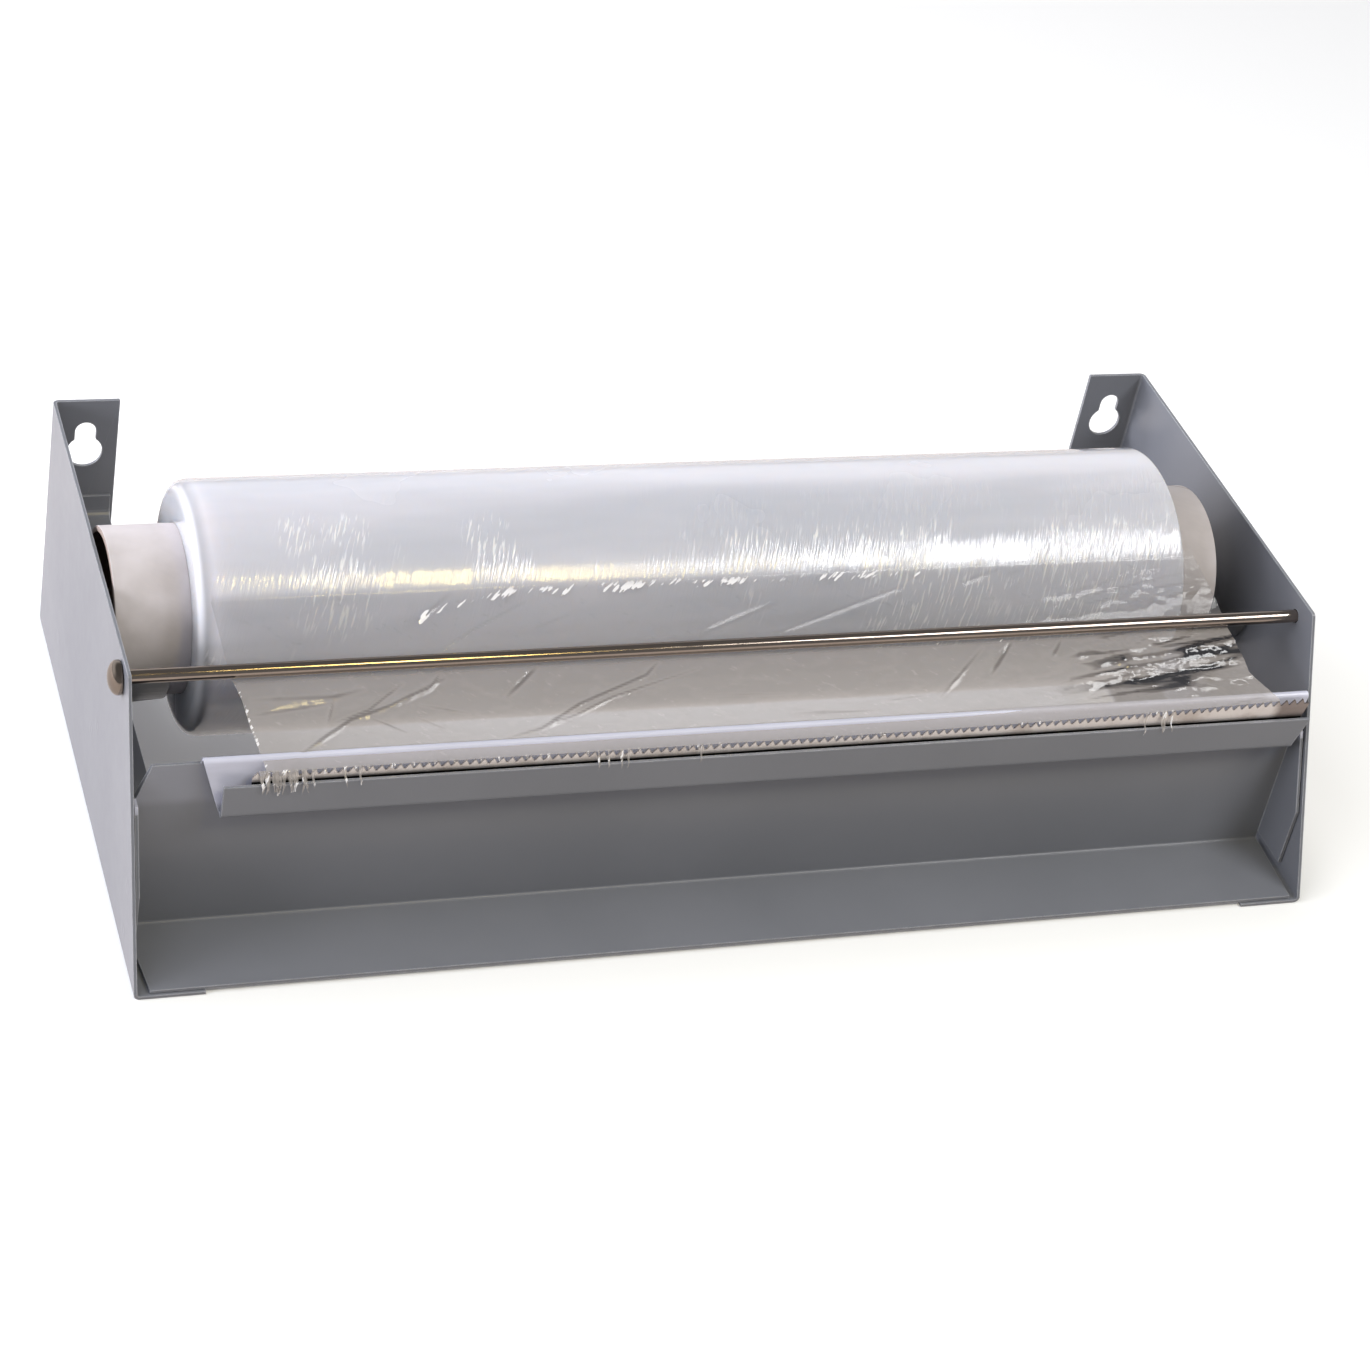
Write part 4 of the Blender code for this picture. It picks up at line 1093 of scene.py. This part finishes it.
# %% Floor and light
FLOOR_SIZE = 60.0
FLOOR_DROP = 0.0002
FLOOR_SEEN = (0.92, 0.94, 0.95)
FLOOR_BOUNCE = (0.50, 0.465, 0.445)
LIFT_TONE = (1.0, 0.955, 0.945, 1.0)
LIFT_SEEN = 0.24
LIFT_UNDER_SHADE = 0.11
LIFT_MIRRORED = 0.30
UNDER_X = (0.26, 0.32)
UNDER_Y = (0.12, 0.18)
CENTRE = (0.0, 0.0, 0.08)
LIGHTS = {  # place, target, size, power, colour
    "key_right": ((0.98, -0.81, 1.35), (0.13, 0.0, 0.1), (0.80, 0.46), 12.5, (1.0, 1.0, 1.0)),
    "warm_lamp": ((0.225, -0.89, 1.31), (-0.15, 0.0, 0.1), (0.17, 0.36), 3.2, (1.0, 0.80, 0.30)),
    "upper_left": ((-1.15, -0.15, 1.9), CENTRE, (1.6, 1.2), 16.5, (0.97, 0.97, 1.0)),
    "left_panel": ((-1.45, 0.85, 0.38), CENTRE, (1.4, 0.7), 29.0, (0.96, 0.95, 1.0)),
    "left_card": ((-1.50, -0.38, 0.50), (0.27, -0.06, 0.07), (0.6, 0.4), 8.0, (0.96, 0.96, 1.0)),
}
MATT_ONLY = ("upper_left", "left_panel", "left_card")
WORLD_TONE = (0.95, 0.96, 1.0, 1.0)
WORLD_CEILING = 0.20
WORLD_WALL = 0.72

bm = bmesh.new()
bmesh.ops.create_grid(bm, x_segments=1, y_segments=1, size=FLOOR_SIZE / 2,
                      matrix=Matrix.Translation((0.0, 0.0, -FLOOR_DROP)))
floor = piece_from(bm, "studio_floor")
made, tree, shader = start_finish("pale_floor", Roughness=0.9, Specular_IOR_Level=0.1,
                                  Emission_Color=LIFT_TONE)
ray = put(tree, "ShaderNodeLightPath").outputs
mirrored = maths(tree, "MAXIMUM", ray["Is Glossy Ray"], ray["Is Transmission Ray"])
parts = axes_of(tree, coordinates(tree))
# Painted shade: the floor under the dispenser gets less of its own light.
beside = maths(tree, "MAXIMUM", between(tree, maths(tree, "ABSOLUTE", parts["X"]), *UNDER_X),
               between(tree, maths(tree, "ABSOLUTE", parts["Y"]), *UNDER_Y))
seen = between(tree, beside, 0.0, 1.0, LIFT_UNDER_SHADE, LIFT_SEEN)
lift = maths(tree, "MAXIMUM", times(tree, ray["Is Camera Ray"], seen), times(tree, mirrored, LIFT_MIRRORED))
drive(tree, shader, Base_Color=blend_colours(tree, ray["Is Camera Ray"], FLOOR_BOUNCE, FLOOR_SEEN),
      Emission_Strength=lift)
wear_finish(floor, made)


def soft_light(name, place, target, size, power, colour):
    """A rectangular soft light that looks at a target and isn't seen by the camera."""
    data = bpy.data.lights.new(name, "AREA")
    data.shape = "RECTANGLE"
    data.size, data.size_y = size
    data.energy = power
    data.color = colour
    lamp = bpy.data.objects.new(name, data)
    lamp.location = place
    lamp.rotation_euler = (Vector(target) - Vector(place)).to_track_quat("-Z", "Y").to_euler()
    lamp.visible_camera = False
    lamp.visible_glossy = name not in MATT_ONLY
    bpy.context.scene.collection.objects.link(lamp)


for name, settings in LIGHTS.items():
    soft_light(name, *settings)

world = bpy.data.worlds.new("studio")
world.use_nodes = True
bpy.context.scene.world = world
sky = world.node_tree
backdrop = sky.nodes["Background"]
direction = axes_of(sky, coordinates(sky, "Generated"))
wall = between(sky, direction["Z"], 0.35, 0.75, 1.0, 0.0)
rear_share = between(sky, direction["Y"], -0.4, 0.4, 0.10, 1.0)
drive(sky, backdrop, Strength=plus(sky, WORLD_CEILING, times(sky, wall, rear_share, WORLD_WALL)))
backdrop.inputs["Color"].default_value = WORLD_TONE

bpy.context.scene.view_settings.view_transform = "Standard"
print("lights:", len(LIGHTS))
